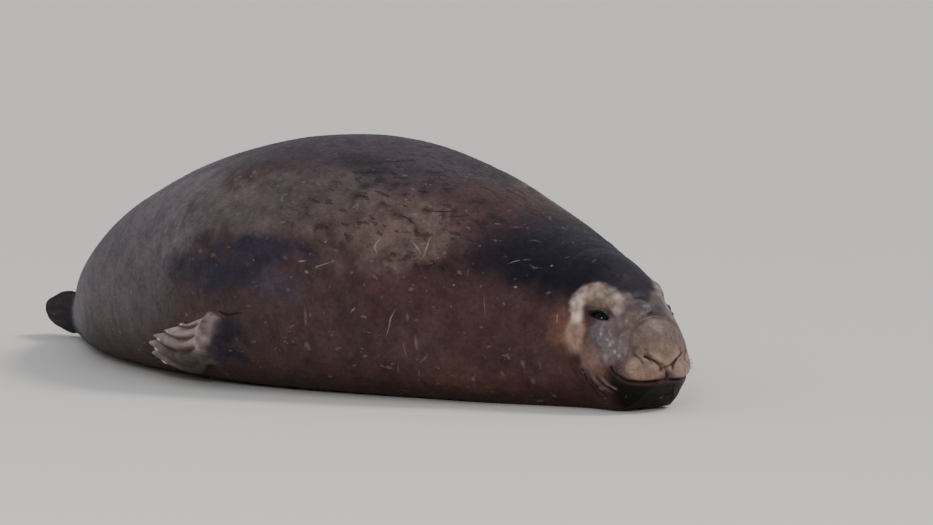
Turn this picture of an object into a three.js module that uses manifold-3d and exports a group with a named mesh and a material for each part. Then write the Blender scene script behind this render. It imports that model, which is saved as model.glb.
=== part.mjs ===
// A young bull elephant seal at rest on its belly, life size, as a museum model shows it.
// Millimetres, +X towards the nose, +Y towards the animal's left, +Z up, floor at z = 0.
// The trunk is a row of closed lengths cut from one smooth body; the flippers, eyes and claws are their own solids.
import * as THREE from "three";
import { mergeVertices } from "three/addons/utils/BufferGeometryUtils.js";
import Module from "manifold-3d";

const wasm = await Module();
wasm.setup();

// Driving sizes of the body
const GAP = 0.3; // between solids that touch
const BEND = 84; // how far the midline swings to the left, 2 m from its straight part
const BEND_START = 200;
const BEND_REACH = 2000;
const ROOF_POWER = 2.1; // roundness of the back in cross-section
const SAG = 30; // how far the round belly would reach below the floor that flattens it
const TAIL_END = -1730;
const TAIL_CAP = -1660; // the tail rounds off from here
const TURN = 61; // how far the head then turns to the right, over its own length
const TURN_START = 1450;
const TURN_REACH = 570;
const NOSE_END = 2066;
const NOSE_CAP = 1890; // the snout rounds off from here
const NOSE_POWER = 2.3;
const TAIL_POWER = 2;

// Cross-sections from the tail to the snout: half width, height of the back, height of the underside,
// the share of the height at which the body is widest, and how square the lower half is.
const STATIONS = [
  { x: -1740, halfWidth: 44, top: 150, under: 48, widest: 0.5, squareness: 2.1 },
  { x: -1620, halfWidth: 105, top: 222, under: 24, widest: 0.5, squareness: 2.2 },
  { x: -1400, halfWidth: 228, top: 352, under: 6, widest: 0.46, squareness: 2.6 },
  { x: -1100, halfWidth: 405, top: 527, under: 0, widest: 0.43, squareness: 3.0 },
  { x: -700, halfWidth: 592, top: 716, under: 0, widest: 0.41, squareness: 3.3 },
  { x: -200, halfWidth: 742, top: 880, under: 0, widest: 0.4, squareness: 3.5 },
  { x: 300, halfWidth: 800, top: 944, under: 0, widest: 0.4, squareness: 3.5 },
  { x: 750, halfWidth: 700, top: 864, under: 0, widest: 0.4, squareness: 3.4 },
  { x: 1100, halfWidth: 568, top: 757, under: 0, widest: 0.41, squareness: 3.2 },
  { x: 1400, halfWidth: 448, top: 649, under: 0, widest: 0.42, squareness: 3.0 },
  { x: 1620, halfWidth: 304, top: 582, under: 0, widest: 0.42, squareness: 2.8 },
  { x: 1780, halfWidth: 234, top: 522, under: 0, widest: 0.44, squareness: 2.4 },
  { x: 1900, halfWidth: 209, top: 424, under: 2, widest: 0.46, squareness: 2.3 },
  { x: 2040, halfWidth: 169, top: 324, under: 14, widest: 0.5, squareness: 2.3 },
];

// Marks of the face on the animal's right, as (x, distance from the midline, z). The left mirrors them.
const SNOUT_CREASE = [[1986, 118, 300], [1984, 96, 316], [1981, 55, 338], [1979, 0, 349]];
const BRIDGE_FOLD = [[1893, 84, 410], [1908, 36, 416], [1912, 0, 416]];
const ORBIT = [[1794, 205, 366], [1815, 176, 400], [1842, 142, 420], [1882, 122, 402], [1910, 120, 378]];
const BROW = [[1772, 212, 384], [1798, 178, 428], [1842, 138, 450], [1896, 104, 424]];
const MOUTH = [[1950, 184, 174], [1972, 175, 148], [2001, 147, 132], [2039, 99, 123], [2057, 54, 121], [2066, 0, 124]];
const PHILTRUM = [[2066, 0, 176], [2067, 0, 150], [2063, 0, 128]];
const CHEEK_FOLDS = [
  [[1890, 206, 122], [1918, 193, 100], [1953, 170, 78]],
  [[1852, 216, 116], [1880, 208, 84], [1914, 193, 58]],
];
const NECK_FOLDS = [1600, 1486, 1352];

// Places given along the side of the head, as x and z; the distance from the midline is the skin's own.
const EYE = { x: 1867, z: 350, radius: 38, sink: 27, lid: 6, halfLength: 38, riseAbove: 19, fallBelow: 14, pit: 17 };
const NOSTRIL = { path: [[2044, 214], [2055, 206], [2062, 193], [2065.2, 178]], radius: 5.5 };
const EAR = { x: 1738, z: 352, radius: 7 };
const LIP_LINE = [[2110, 126], [2066, 124], [2040, 122], [2004, 131], [1974, 147], [1954, 168]];
const LIP_SLIT = 3;
const JAW_PART = [[1962, 158], [1950, 176], [1932, 168], [1918, 120], [1908, 50], [1902, -40]];
const NOSE_PART = [[1938, 480], [1960, 392], [1980, 345], [1976, 300], [1962, 240], [1954, 196], [1948, 172], [1936, 120], [1930, 60]];

// Colours seen on the animal
const COLOURS = {
  back: 0x54484a,
  flank: 0x3f3032,
  face: 0x7a675c,
  flipper: 0x6e6462,
  claw: 0xb3a99c,
  eye: 0x0b0908,
};
const finish = (colour, roughness) => new THREE.MeshStandardMaterial({ color: colour, roughness, metalness: 0 });

// Smooth curve through one column of the stations (a cubic with the slope of the neighbours at each point).
function stationValue(x, key) {
  const last = STATIONS.length - 1;
  let i = STATIONS.findIndex((station) => station.x > x) - 1;
  if (i === -2) i = last - 1;
  i = Math.min(Math.max(i, 0), last - 1);
  const slope = (a, b) => (STATIONS[b][key] - STATIONS[a][key]) / (STATIONS[b].x - STATIONS[a].x);
  const tangent = (k) => {
    if (k === 0) return slope(0, 1);
    if (k === last) return slope(last - 1, last);
    const before = STATIONS[k].x - STATIONS[k - 1].x;
    const after = STATIONS[k + 1].x - STATIONS[k].x;
    return (slope(k - 1, k) * after + slope(k, k + 1) * before) / (before + after);
  };
  const span = STATIONS[i + 1].x - STATIONS[i].x;
  const t = THREE.MathUtils.clamp((x - STATIONS[i].x) / span, 0, 1);
  const rise = (2 * t ** 3 - 3 * t ** 2 + 1) * STATIONS[i][key] + (3 * t ** 2 - 2 * t ** 3) * STATIONS[i + 1][key];
  return rise + (t ** 3 - 2 * t ** 2 + t) * span * tangent(i) + (t ** 3 - t ** 2) * span * tangent(i + 1);
}

const midline = (x) => {
  const turned = Math.max(x - TURN_START, 0) / TURN_REACH;
  return BEND * ((x - BEND_START) / BEND_REACH) ** 2 - TURN * turned ** 2;
};
const signedPower = (value, power) => Math.sign(value) * Math.abs(value) ** power;

// How much the cross-section has closed, 1 along the body and 0 at the very tip of the nose or tail.
function closing(x) {
  const nose = THREE.MathUtils.clamp((x - NOSE_CAP) / (NOSE_END - NOSE_CAP), 0, 1);
  const tail = THREE.MathUtils.clamp((TAIL_CAP - x) / (TAIL_CAP - TAIL_END), 0, 1);
  return (1 - nose ** NOSE_POWER) ** (1 / NOSE_POWER) * (1 - tail ** TAIL_POWER) ** (1 / TAIL_POWER);
}

// The sizes of the cross-section at x.
function section(x) {
  const shut = closing(x);
  const top = stationValue(x, "top");
  const under = Math.max(0, stationValue(x, "under"));
  const middle = under + (top - under) * stationValue(x, "widest");
  return {
    half: stationValue(x, "halfWidth") * shut,
    middle,
    rise: (top - middle) * shut,
    fall: (middle - under + SAG) * shut,
    under: middle + (under - middle) * shut,
    power: stationValue(x, "squareness"),
  };
}

// A point of the smooth body before the face is worked: two half superellipses, flattened where the floor is.
function bodyPoint(x, angle) {
  const s = section(x);
  const across = Math.cos(angle);
  const up = Math.sin(angle);
  const power = up >= 0 ? ROOF_POWER : s.power;
  const lift = signedPower(up, 2 / power) * (up >= 0 ? s.rise : s.fall);
  const y = midline(x) + s.half * signedPower(across, 2 / power);
  return new THREE.Vector3(x, y, Math.max(s.middle + lift, s.under));
}

// How far the flank stands from the midline at (x, z).
function flank(x, z) {
  const s = section(x);
  const above = z >= s.middle;
  const share = Math.min(Math.abs(z - s.middle) / (above ? s.rise : s.fall), 0.995);
  const power = above ? ROOF_POWER : s.power;
  return s.half * (1 - share ** power) ** (1 / power);
}

const mirrored = (line) => line.map(([x, off, z]) => new THREE.Vector3(x, off, z));

// Depth of a soft groove or ridge along a line of marks: 1 on the line, fading over its width.
function along(point, line, width) {
  let nearest = Infinity;
  const segment = new THREE.Line3();
  const foot = new THREE.Vector3();
  for (let i = 0; i + 1 < line.length; i++) {
    segment.set(line[i], line[i + 1]);
    segment.closestPointToPoint(point, true, foot);
    nearest = Math.min(nearest, foot.distanceTo(point));
  }
  return Math.exp(-((nearest / width) ** 2));
}

// A soft swelling with its own reach along each axis: 1 at its centre.
function swelling(point, [cx, cy, cz], [rx, ry, rz]) {
  return Math.exp(-(((point.x - cx) / rx) ** 2) - ((point.y - cy) / ry) ** 2 - ((point.z - cz) / rz) ** 2);
}

const smooth = THREE.MathUtils.smoothstep;
const LINES = {
  crease: mirrored(SNOUT_CREASE),
  fold: mirrored(BRIDGE_FOLD),
  orbit: mirrored(ORBIT),
  brow: mirrored(BROW),
  mouth: mirrored(MOUTH),
  philtrum: mirrored(PHILTRUM),
  cheeks: CHEEK_FOLDS.map(mirrored),
};

// How far the worked face stands out of the smooth body at a point; |y| makes both sides alike.
function faceRelief(x, yOff, z) {
  const p = new THREE.Vector3(x, Math.abs(yOff), z);
  let out = 9 * along(p, LINES.brow, 32) - 5 * along(p, LINES.orbit, 16);
  out -= 7 * swelling(p, [EYE.x, 178, EYE.z - 6], [62, 80, 44]); // the eye lies in a shallow hollow
  out += 13 * swelling(p, [2004, 128, 168], [56, 56, 36]); // whisker pad
  out += 9 * swelling(p, [2020, 0, 278], [52, 96, 56]); // bulb of the nose
  out += 8 * swelling(p, [1946, 0, 384], [26, 90, 30]); // roll between bridge and bulb
  out += 8 * swelling(p, [1880, 206, 196], [70, 60, 60]); // cheek
  out -= 7 * swelling(p, [1944, 150, 300], [38, 50, 54]); // hollow before the eye
  out -= 9 * along(p, LINES.crease, 13) + 8 * along(p, LINES.fold, 16);
  out -= 6 * along(p, LINES.philtrum, 8) + 8 * along(p, LINES.mouth, 13);
  for (const fold of LINES.cheeks) out -= 7 * along(p, fold, 9);
  return out - 24 * smooth(-z, -112, -76) * smooth(x, 1930, 2045);
}

// Soft rolls of the drawn-in neck.
function neckRelief(x, z) {
  const fade = smooth(z, 20, 160);
  return NECK_FOLDS.reduce((sum, at) => sum - 4 * fade * Math.exp(-(((x - at - 0.12 * (z - 300)) / 30) ** 2)), 0);
}

// A point of the worked skin and the direction out of it.
const PROBE = 1; // step for the slope of the smooth body
function skinFrame(x, angle) {
  const point = bodyPoint(x, angle);
  const alongX = bodyPoint(x + PROBE, angle).sub(bodyPoint(x - PROBE, angle));
  const alongAngle = bodyPoint(x, angle + 0.01).sub(bodyPoint(x, angle - 0.01));
  const outward = alongAngle.cross(alongX).normalize();
  const relief = (x > 1640 ? faceRelief(x, point.y - midline(x), point.z) : 0) + neckRelief(x, point.z);
  point.addScaledVector(outward, relief);
  point.z = Math.max(point.z, 0);
  return { point, outward };
}
const skinPoint = (x, angle) => skinFrame(x, angle).point;

// The same at a place on the side of the head, found from its x and z.
function sideFrame(side, x, z) {
  const s = section(x);
  const share = THREE.MathUtils.clamp((z - s.middle) / (z >= s.middle ? s.rise : s.fall), -1, 1);
  const power = z >= s.middle ? ROOF_POWER : s.power;
  const up = Math.asin(signedPower(share, power / 2));
  return skinFrame(x, side > 0 ? up : Math.PI - up);
}

// Builds a geometry from a list of points and triangles.
function geometryFrom(points, faces) {
  const geometry = new THREE.BufferGeometry();
  geometry.setAttribute("position", new THREE.Float32BufferAttribute(points.flatMap((p) => [p.x, p.y, p.z]), 3));
  geometry.setIndex(faces.flat());
  return geometry;
}

// Closes rings of points into one body; each end is a fan to the middle of its ring, or to a given tip.
function tube(rings, startTip, endTip) {
  const count = rings[0].length;
  const points = rings.flat();
  const faces = [];
  for (let i = 0; i + 1 < rings.length; i++) {
    for (let j = 0; j < count; j++) {
      const next = (j + 1) % count;
      const [a, b, c, d] = [i * count + j, i * count + next, (i + 1) * count + next, (i + 1) * count + j];
      faces.push([a, b, c], [a, c, d]);
    }
  }
  const middle = (ring) => ring.reduce((sum, p) => sum.add(p), new THREE.Vector3()).divideScalar(count);
  const lastRing = (rings.length - 1) * count;
  points.push(startTip ?? middle(rings[0]), endTip ?? middle(rings.at(-1)));
  for (let j = 0; j < count; j++) {
    const next = (j + 1) % count;
    faces.push([points.length - 2, next, j], [points.length - 1, lastRing + j, lastRing + next]);
  }
  return geometryFrom(points, faces);
}

// Makes the faces of a closed surface point outwards, whichever side of the animal it was drawn for.
function facedOutward(geometry) {
  const at = geometry.attributes.position;
  const index = geometry.index.array;
  const [a, b, c] = [new THREE.Vector3(), new THREE.Vector3(), new THREE.Vector3()];
  let volume = 0;
  for (let i = 0; i < index.length; i += 3) {
    [a, b, c].forEach((corner, k) => corner.fromBufferAttribute(at, index[i + k]));
    volume += a.dot(b.cross(c));
  }
  if (volume > 0) return geometry;
  for (let i = 0; i < index.length; i += 3) [index[i + 1], index[i + 2]] = [index[i + 2], index[i + 1]];
  return geometry;
}

// Solids: to and from the library that joins and cuts.
function solid(geometry) {
  const bare = geometry.clone();
  bare.deleteAttribute("normal");
  bare.deleteAttribute("uv");
  const merged = facedOutward(mergeVertices(bare, 1e-3));
  const { array } = merged.attributes.position;
  return new wasm.Manifold(new wasm.Mesh({ numProp: 3, vertProperties: array, triVerts: new Uint32Array(merged.index.array) }));
}

// The largest closed surface of a solid, as a geometry.
function largest(body) {
  const pieces = body.decompose().sort((a, b) => b.volume() - a.volume());
  const mesh = pieces[0].getMesh();
  const geometry = new THREE.BufferGeometry();
  const positions = new Float32Array((mesh.vertProperties.length / mesh.numProp) * 3);
  for (let i = 0; i < positions.length / 3; i++) {
    for (let k = 0; k < 3; k++) positions[3 * i + k] = mesh.vertProperties[i * mesh.numProp + k];
  }
  geometry.setAttribute("position", new THREE.BufferAttribute(positions, 3));
  geometry.setIndex(new THREE.BufferAttribute(mesh.triVerts, 1));
  return geometry;
}

const seal = new THREE.Group();
function addNode(name, geometry, material) {
  const mesh = new THREE.Mesh(facedOutward(geometry), material);
  mesh.name = name;
  seal.add(mesh);
}

// Even steps from a to b, both included.
const steps = (a, b, count) => Array.from({ length: count + 1 }, (_, i) => a + ((b - a) * i) / count);

// The trunk: lengths of the body between cuts across it.
const TRUNK_COLUMNS = 44;
const trunkRing = (x, columns = TRUNK_COLUMNS) =>
  Array.from({ length: columns }, (_, j) => skinPoint(x, (2 * Math.PI * j) / columns));
const CUTS = { tail: -1590, rump: -1180, loin: -560, belly: 120, chest: 760, neck: 1290, head: 1560 };
const LENGTHS = [
  { name: "rump", from: CUTS.tail, to: CUTS.rump, rings: 4, colour: COLOURS.back },
  { name: "loin", from: CUTS.rump, to: CUTS.loin, rings: 4, colour: COLOURS.back },
  { name: "belly", from: CUTS.loin, to: CUTS.belly, rings: 4, colour: COLOURS.flank },
  { name: "chest", from: CUTS.belly, to: CUTS.chest, rings: 5, colour: COLOURS.flank },
  { name: "shoulders", from: CUTS.chest, to: CUTS.neck, rings: 5, colour: COLOURS.flank },
  { name: "neck", from: CUTS.neck, to: CUTS.head, rings: 7, colour: COLOURS.flank },
];
const trunkLength = ({ from, to, rings }) =>
  tube(steps(from + GAP / 2, to - GAP / 2, rings).map((x) => trunkRing(x)));

// The short tail closes to a rounded tip.
const TAIL_RINGS = 6;
const tailAngles = steps(0, Math.PI / 2, TAIL_RINGS).slice(0, -1).reverse();
const tailXs = tailAngles.map((a) => TAIL_CAP + (TAIL_END - TAIL_CAP) * Math.sin(a));
const tailSolid = tube(
  [...tailXs, CUTS.tail - GAP / 2].map((x) => trunkRing(x)),
  new THREE.Vector3(TAIL_END, midline(TAIL_END), section(TAIL_END).middle),
);

// The head has its columns drawn together over the eyes and the mouth, and its rings over the face.
const HEAD_COLUMNS = 72;
const COLUMN_CROWDING = 0.24;
const headAngle = (j) => {
  const even = (2 * Math.PI * j) / HEAD_COLUMNS;
  return even - (COLUMN_CROWDING / 2) * Math.sin(2 * even);
};
const headRing = (x) => Array.from({ length: HEAD_COLUMNS }, (_, j) => skinPoint(x, headAngle(j)));
const NOSE_RINGS = 14;
const noseXs = steps(0, Math.PI / 2, NOSE_RINGS).slice(1, -1).map((a) => NOSE_CAP + (NOSE_END - NOSE_CAP) * Math.sin(a));
const headXs = [...steps(CUTS.head + GAP / 2, 1720, 5), ...steps(1720, NOSE_CAP, 13).slice(1), ...noseXs];
const tipHeight = section(NOSE_END).middle;
const noseTip = new THREE.Vector3(NOSE_END + faceRelief(NOSE_END, 0, tipHeight), midline(NOSE_END), tipHeight);
const wholeHead = solid(tube(headXs.map(headRing), null, noseTip));

// An eye: a ball sunk in the head, a shell of lids round it, and the almond opening cut through the lids.
const SPHERE_STEPS = [18, 12];
const SIDES = { right: -1, left: 1 };
function eyeParts(side) {
  const { point, outward } = sideFrame(side, EYE.x, EYE.z);
  const centre = point.clone().addScaledVector(outward, -EYE.sink);
  const forward = new THREE.Vector3(1, 0, -0.05).projectOnPlane(outward).normalize();
  const up = outward.clone().cross(forward).multiplyScalar(-side).normalize();
  const ball = (radius) => new THREE.SphereGeometry(radius, ...SPHERE_STEPS).translate(centre.x, centre.y, centre.z);
  const rim = steps(0, 2 * Math.PI, 20).slice(0, -1).map((a) => {
    const height = Math.sin(a) > 0 ? EYE.riseAbove : EYE.fallBelow;
    return new THREE.Vector2(EYE.halfLength * Math.cos(a), height * signedPower(Math.sin(a), 1.2));
  });
  const almond = new THREE.ExtrudeGeometry(new THREE.Shape(rim), { depth: 60, bevelEnabled: false });
  almond.translate(0, 0, EYE.pit);
  almond.applyMatrix4(new THREE.Matrix4().makeBasis(forward, up, outward).setPosition(centre));
  return { ball, almond };
}
const EYES = Object.fromEntries(Object.entries(SIDES).map(([name, side]) => [name, eyeParts(side)]));

// A nostril: a bent groove pressed into the skin of the snout.
function nostrilTube(side) {
  const along = NOSTRIL.path.map(([x, z]) => sideFrame(side, x, z).point);
  const rim = steps(0, 2 * Math.PI, 7).slice(0, -1).map((a) => new THREE.Vector2(Math.cos(a), Math.sin(a)));
  const shape = new THREE.Shape(rim.map((p) => p.multiplyScalar(NOSTRIL.radius)));
  return new THREE.ExtrudeGeometry(shape, { steps: 9, extrudePath: new THREE.CatmullRomCurve3(along) });
}
function earHole(side) {
  const { point } = sideFrame(side, EAR.x, EAR.z);
  return new THREE.SphereGeometry(EAR.radius, 10, 8).translate(point.x, point.y, point.z);
}

// A thin curved sheet across the head, drawn in side view, that parts one piece of the head from another.
function partingSheet(line, thickness) {
  const centre = new THREE.CatmullRomCurve3(line.map(([x, z]) => new THREE.Vector3(x, 0, z)));
  const drawn = centre.getPoints(14);
  const sideways = drawn.map((p, i) => {
    const before = drawn[Math.max(i - 1, 0)];
    const after = drawn[Math.min(i + 1, drawn.length - 1)];
    return after.clone().sub(before).cross(new THREE.Vector3(0, 1, 0)).normalize();
  });
  const edge = (sign) => drawn.map((p, i) => p.clone().addScaledVector(sideways[i], (sign * thickness) / 2));
  const outline = [...edge(1), ...edge(-1).reverse()].map((p) => new THREE.Vector2(p.x, p.z));
  const REACH = 600;
  const sheet = new THREE.ExtrudeGeometry(new THREE.Shape(outline), { depth: REACH, bevelEnabled: false });
  return sheet.rotateX(Math.PI / 2).translate(0, REACH / 2 + midline(NOSE_CAP), 0);
}
let workedHead = wholeHead;
for (const [name, side] of Object.entries(SIDES)) {
  const { ball, almond } = EYES[name];
  workedHead = workedHead.add(solid(ball(EYE.radius + EYE.lid)));
  for (const cut of [ball(EYE.radius + GAP), almond, nostrilTube(side), earHole(side)]) {
    workedHead = workedHead.subtract(solid(cut));
  }
}
const bySize = (body) => body.decompose().sort((a, b) => b.volume() - a.volume());
const [skullSide, jaw] = bySize(
  workedHead.subtract(solid(partingSheet(LIP_LINE, LIP_SLIT))).subtract(solid(partingSheet(JAW_PART, GAP))),
);
const [face, snout] = bySize(skullSide.subtract(solid(partingSheet(NOSE_PART, GAP))));

// Fore flippers: an arm and a hand of five digits that lies back along the flank.
// Each row of marks runs from the upper, leading edge to the lower, trailing edge, as (x, z).
const FORE = {
  root: [[566, 262], [552, 204], [530, 134], [500, 74]],
  wrist: [[378, 286], [372, 232], [350, 168], [300, 92]],
  tips: [[212, 241], [110, 214], [20, 186], [-40, 152], [-74, 104]],
  digits: 5,
  webDepth: 44,
  bow: 10, // how far the upper digit sags on its way to the tip
  bowGrowth: 50, // how much more the lower one does
  armThickness: 62,
  wristThickness: 44,
  tipThickness: 17,
  edgeThickness: 7,
  rootDepth: 64, // how deep the root sinks into the flank
  stand: 5, // the palm's distance from the flank
};
const curveThrough = (marks) => new THREE.CatmullRomCurve3(marks.map(([x, z]) => new THREE.Vector3(x, 0, z)));
const FORE_LINES = { root: curveThrough(FORE.root), wrist: curveThrough(FORE.wrist), tips: curveThrough(FORE.tips) };
const foreDigitPhase = (v) => Math.cos(2 * Math.PI * v * (FORE.digits - 1)); // 1 on a digit, -1 on the web between

// A point of the flipper: u runs from the root (-1) over the wrist (0) to the tips (1), v from edge to edge.
function foreOutline(u, v) {
  const wrist = FORE_LINES.wrist.getPoint(v);
  if (u <= 0) return wrist.clone().lerp(FORE_LINES.root.getPoint(v), -u);
  const tip = FORE_LINES.tips.getPoint(v);
  const reach = 1 - ((1 - foreDigitPhase(v)) / 2) * (FORE.webDepth / wrist.distanceTo(tip));
  const point = wrist.clone().lerp(tip, u * reach);
  point.z -= (FORE.bow + FORE.bowGrowth * v) * Math.sin(Math.PI * u);
  return point;
}
function foreThickness(u, v) {
  const body = u <= 0
    ? THREE.MathUtils.lerp(FORE.wristThickness, FORE.armThickness, -u)
    : THREE.MathUtils.lerp(FORE.wristThickness, FORE.tipThickness, u ** 0.8);
  const edge = Math.sin(Math.PI * THREE.MathUtils.clamp(0.06 + 0.88 * v, 0, 1)) ** 0.55;
  const ridge = 1 + 0.36 * smooth(u, 0.05, 0.5) * foreDigitPhase(v);
  const tipFade = 1 - 0.35 * smooth(u, 0.75, 1);
  return FORE.edgeThickness + (body - FORE.edgeThickness) * edge * ridge * tipFade;
}
function forePoint(side, u, v, outer) {
  const flat = foreOutline(u, v);
  const z = Math.max(flat.z, 14);
  const lean = FORE.stand + 10 * Math.max(u, 0) * v;
  const sunk = FORE.rootDepth * smooth(-u, 0, 1);
  const off = flank(flat.x, z) + (outer ? foreThickness(u, v) - sunk * 1.3 : -sunk) + lean * smooth(u, -0.3, 0.3);
  return new THREE.Vector3(flat.x, midline(flat.x) + side * off, z);
}

// Two skins over a grid, closed round the edge; both are split into the same triangles.
function blade(columns, rows, pointAt) {
  const points = [];
  for (const outer of [false, true]) {
    for (let i = 0; i <= rows; i++) {
      for (let j = 0; j <= columns; j++) points.push(pointAt(i / rows, j / columns, outer));
    }
  }
  const layer = (rows + 1) * (columns + 1);
  const at = (i, j, skin) => skin * layer + i * (columns + 1) + j;
  const faces = [];
  for (let i = 0; i < rows; i++) {
    for (let j = 0; j < columns; j++) {
      const inner = [at(i, j, 0), at(i + 1, j, 0), at(i + 1, j + 1, 0), at(i, j + 1, 0)];
      const outer = inner.map((k) => k + layer);
      faces.push([inner[0], inner[1], inner[2]], [inner[0], inner[2], inner[3]]);
      faces.push([outer[0], outer[2], outer[1]], [outer[0], outer[3], outer[2]]);
    }
  }
  const rim = [];
  for (let j = 0; j < columns; j++) rim.push([0, j]);
  for (let i = 0; i < rows; i++) rim.push([i, columns]);
  for (let j = columns; j > 0; j--) rim.push([rows, j]);
  for (let i = rows; i > 0; i--) rim.push([i, 0]);
  rim.forEach(([i, j], k) => {
    const [ni, nj] = rim[(k + 1) % rim.length];
    const [a, b, c, d] = [at(i, j, 0), at(ni, nj, 0), at(ni, nj, 1), at(i, j, 1)];
    faces.push([a, b, c], [a, c, d]);
  });
  return geometryFrom(points, faces);
}
const FORE_GRID = { columns: 20, rows: 11 };
const foreBlade = (side) =>
  blade(FORE_GRID.columns, FORE_GRID.rows, (i, j, outer) => forePoint(side, 2 * i - 1, j, outer));

// Claws: a short curved horn on the back of each digit, just behind its tip.
const CLAW = { length: 34, width: 11, height: 8, sides: 6, rings: 4, behindTip: 0.93 };
function claw(side, digit, clearance) {
  const v = digit / (FORE.digits - 1);
  const root = forePoint(side, CLAW.behindTip - 0.12, v, true);
  const tip = forePoint(side, 1, v, true);
  const forward = tip.clone().sub(root).normalize();
  const outward = new THREE.Vector3(0, side, 0).addScaledVector(forward, -side * forward.y).normalize();
  const across = new THREE.Vector3().crossVectors(forward, outward);
  const start = root.clone().addScaledVector(outward, -CLAW.height * 0.55);
  const rings = steps(0, 1, CLAW.rings).slice(0, -1).map((t) => {
    const size = (1 - t ** 1.7) * 0.5;
    const centre = start.clone().addScaledVector(forward, t * CLAW.length);
    centre.addScaledVector(outward, CLAW.height * 0.9 * Math.sin(2.2 * t));
    return Array.from({ length: CLAW.sides }, (_, k) => {
      const a = (2 * Math.PI * k) / CLAW.sides;
      const wide = (CLAW.width * size + clearance) * Math.cos(a);
      const high = (CLAW.height * size + clearance) * Math.sin(a);
      return centre.clone().addScaledVector(across, wide).addScaledVector(outward, high);
    });
  });
  const back = start.clone().addScaledVector(forward, -clearance);
  const point = start.clone().addScaledVector(forward, CLAW.length + clearance);
  point.addScaledVector(outward, CLAW.height * 0.9 * Math.sin(2.2));
  return tube(rings, back, point);
}

// Hind flippers: two webbed blades on edge behind the tail, palms together and drawn in to rounded tips.
const HIND = {
  rootX: -1585,
  tipX: -1930,
  rootOff: 62, // from the midline
  tipOff: 42,
  rootZ: 119,
  tipZ: 104,
  rootHalf: 95, // half the height of the web at its root
  tipHalf: 58,
  rounding: 110, // how much shorter the outer digits are
  lean: 0.22, // from upright, in radians
  rootThickness: 62,
  tipThickness: 17,
  digits: 5,
};
function hindPoint(side, u, v, outer) {
  const across = 2 * v - 1; // 1 at the upper edge, -1 at the lower one
  const shortfall = HIND.rounding * Math.abs(across) ** 2.4 * u ** 2;
  const phase = Math.cos(2 * Math.PI * v * (HIND.digits - 1));
  const x = THREE.MathUtils.lerp(HIND.rootX, HIND.tipX, u) + shortfall + 10 * u ** 3 * (1 - phase) * 0.5;
  const half = THREE.MathUtils.lerp(HIND.rootHalf, HIND.tipHalf, smooth(u, 0.2, 1));
  const body = THREE.MathUtils.lerp(HIND.rootThickness, HIND.tipThickness, u ** 0.6);
  const thick = body * (1 + 0.3 * smooth(u, 0.1, 0.5) * phase) * (1 - 0.55 * Math.abs(across) ** 3);
  const offset = (outer ? 0.5 : -0.5) * thick;
  const off = THREE.MathUtils.lerp(HIND.rootOff, HIND.tipOff, u) + across * half * Math.sin(HIND.lean) + offset;
  const z = THREE.MathUtils.lerp(HIND.rootZ, HIND.tipZ, u) + across * half * Math.cos(HIND.lean);
  return new THREE.Vector3(x, midline(x) + side * off, z);
}
const HIND_GRID = { columns: 20, rows: 8 };
const hindBlade = (side) => blade(HIND_GRID.columns, HIND_GRID.rows, (i, j, outer) => hindPoint(side, i, j, outer));

// The smooth body let out by the gap, to cut the roots of the flippers to its surface.
function grownBody() {
  const grown = (x, angle) => {
    const p = skinPoint(x, angle);
    const alongX = skinPoint(x + PROBE, angle).sub(skinPoint(x - PROBE, angle));
    const alongAngle = skinPoint(x, angle + 0.01).sub(skinPoint(x, angle - 0.01));
    return p.addScaledVector(alongAngle.cross(alongX).normalize(), GAP);
  };
  const lengths = LENGTHS.flatMap(({ from, to, rings }) => steps(from, to, rings).slice(0, -1));
  const xs = [...tailXs, ...lengths];
  const rings = xs.map((x) => Array.from({ length: TRUNK_COLUMNS }, (_, j) => grown(x, (2 * Math.PI * j) / TRUNK_COLUMNS)));
  return solid(tube(rings, new THREE.Vector3(TAIL_END - GAP, midline(TAIL_END), section(TAIL_END).middle)));
}

const bodyCutter = grownBody();
for (const length of LENGTHS) addNode(length.name, trunkLength(length), finish(length.colour, 0.6));
addNode("tail", tailSolid, finish(COLOURS.back, 0.6));
addNode("head", largest(face), finish(COLOURS.face, 0.6));
addNode("proboscis", largest(snout), finish(COLOURS.face, 0.5));
addNode("lower_jaw", largest(jaw), finish(COLOURS.flank, 0.5));
for (const [name, side] of Object.entries(SIDES)) {
  addNode(`eye_${name}`, EYES[name].ball(EYE.radius), finish(COLOURS.eye, 0.08));
  const claws = Array.from({ length: FORE.digits }, (_, digit) => digit);
  let hand = solid(foreBlade(side)).subtract(bodyCutter);
  for (const digit of claws) hand = hand.subtract(solid(claw(side, digit, GAP)));
  addNode(`fore_flipper_${name}`, largest(hand), finish(COLOURS.flipper, 0.65));
  for (const digit of claws) addNode(`claw_${name}_${digit + 1}`, claw(side, digit, 0), finish(COLOURS.claw, 0.4));
  addNode(`hind_flipper_${name}`, largest(solid(hindBlade(side)).subtract(bodyCutter)), finish(COLOURS.flipper, 0.65));
}

// The origin stands on the floor under the middle of the whole animal.
const bounds = new THREE.Box3().setFromObject(seal);
const middleOfAll = bounds.getCenter(new THREE.Vector3());
seal.position.set(-middleOfAll.x, -middleOfAll.y, -bounds.min.z);

export default seal;
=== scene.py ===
"""A young bull elephant seal at rest on its belly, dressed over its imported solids.

Shapes are worked out in millimetres in the animal's own frame, with +X towards the nose, +Y towards its left
and the floor at z = 0, and are put into meshes in metres with the origin under the middle of the animal.
"""
from __future__ import annotations

import logging
import math
from dataclasses import dataclass, field
from enum import Enum
from typing import Any, Iterable, Sequence

import bpy
import numpy as np
from mathutils import Matrix, Vector
from mathutils.kdtree import KDTree

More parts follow.
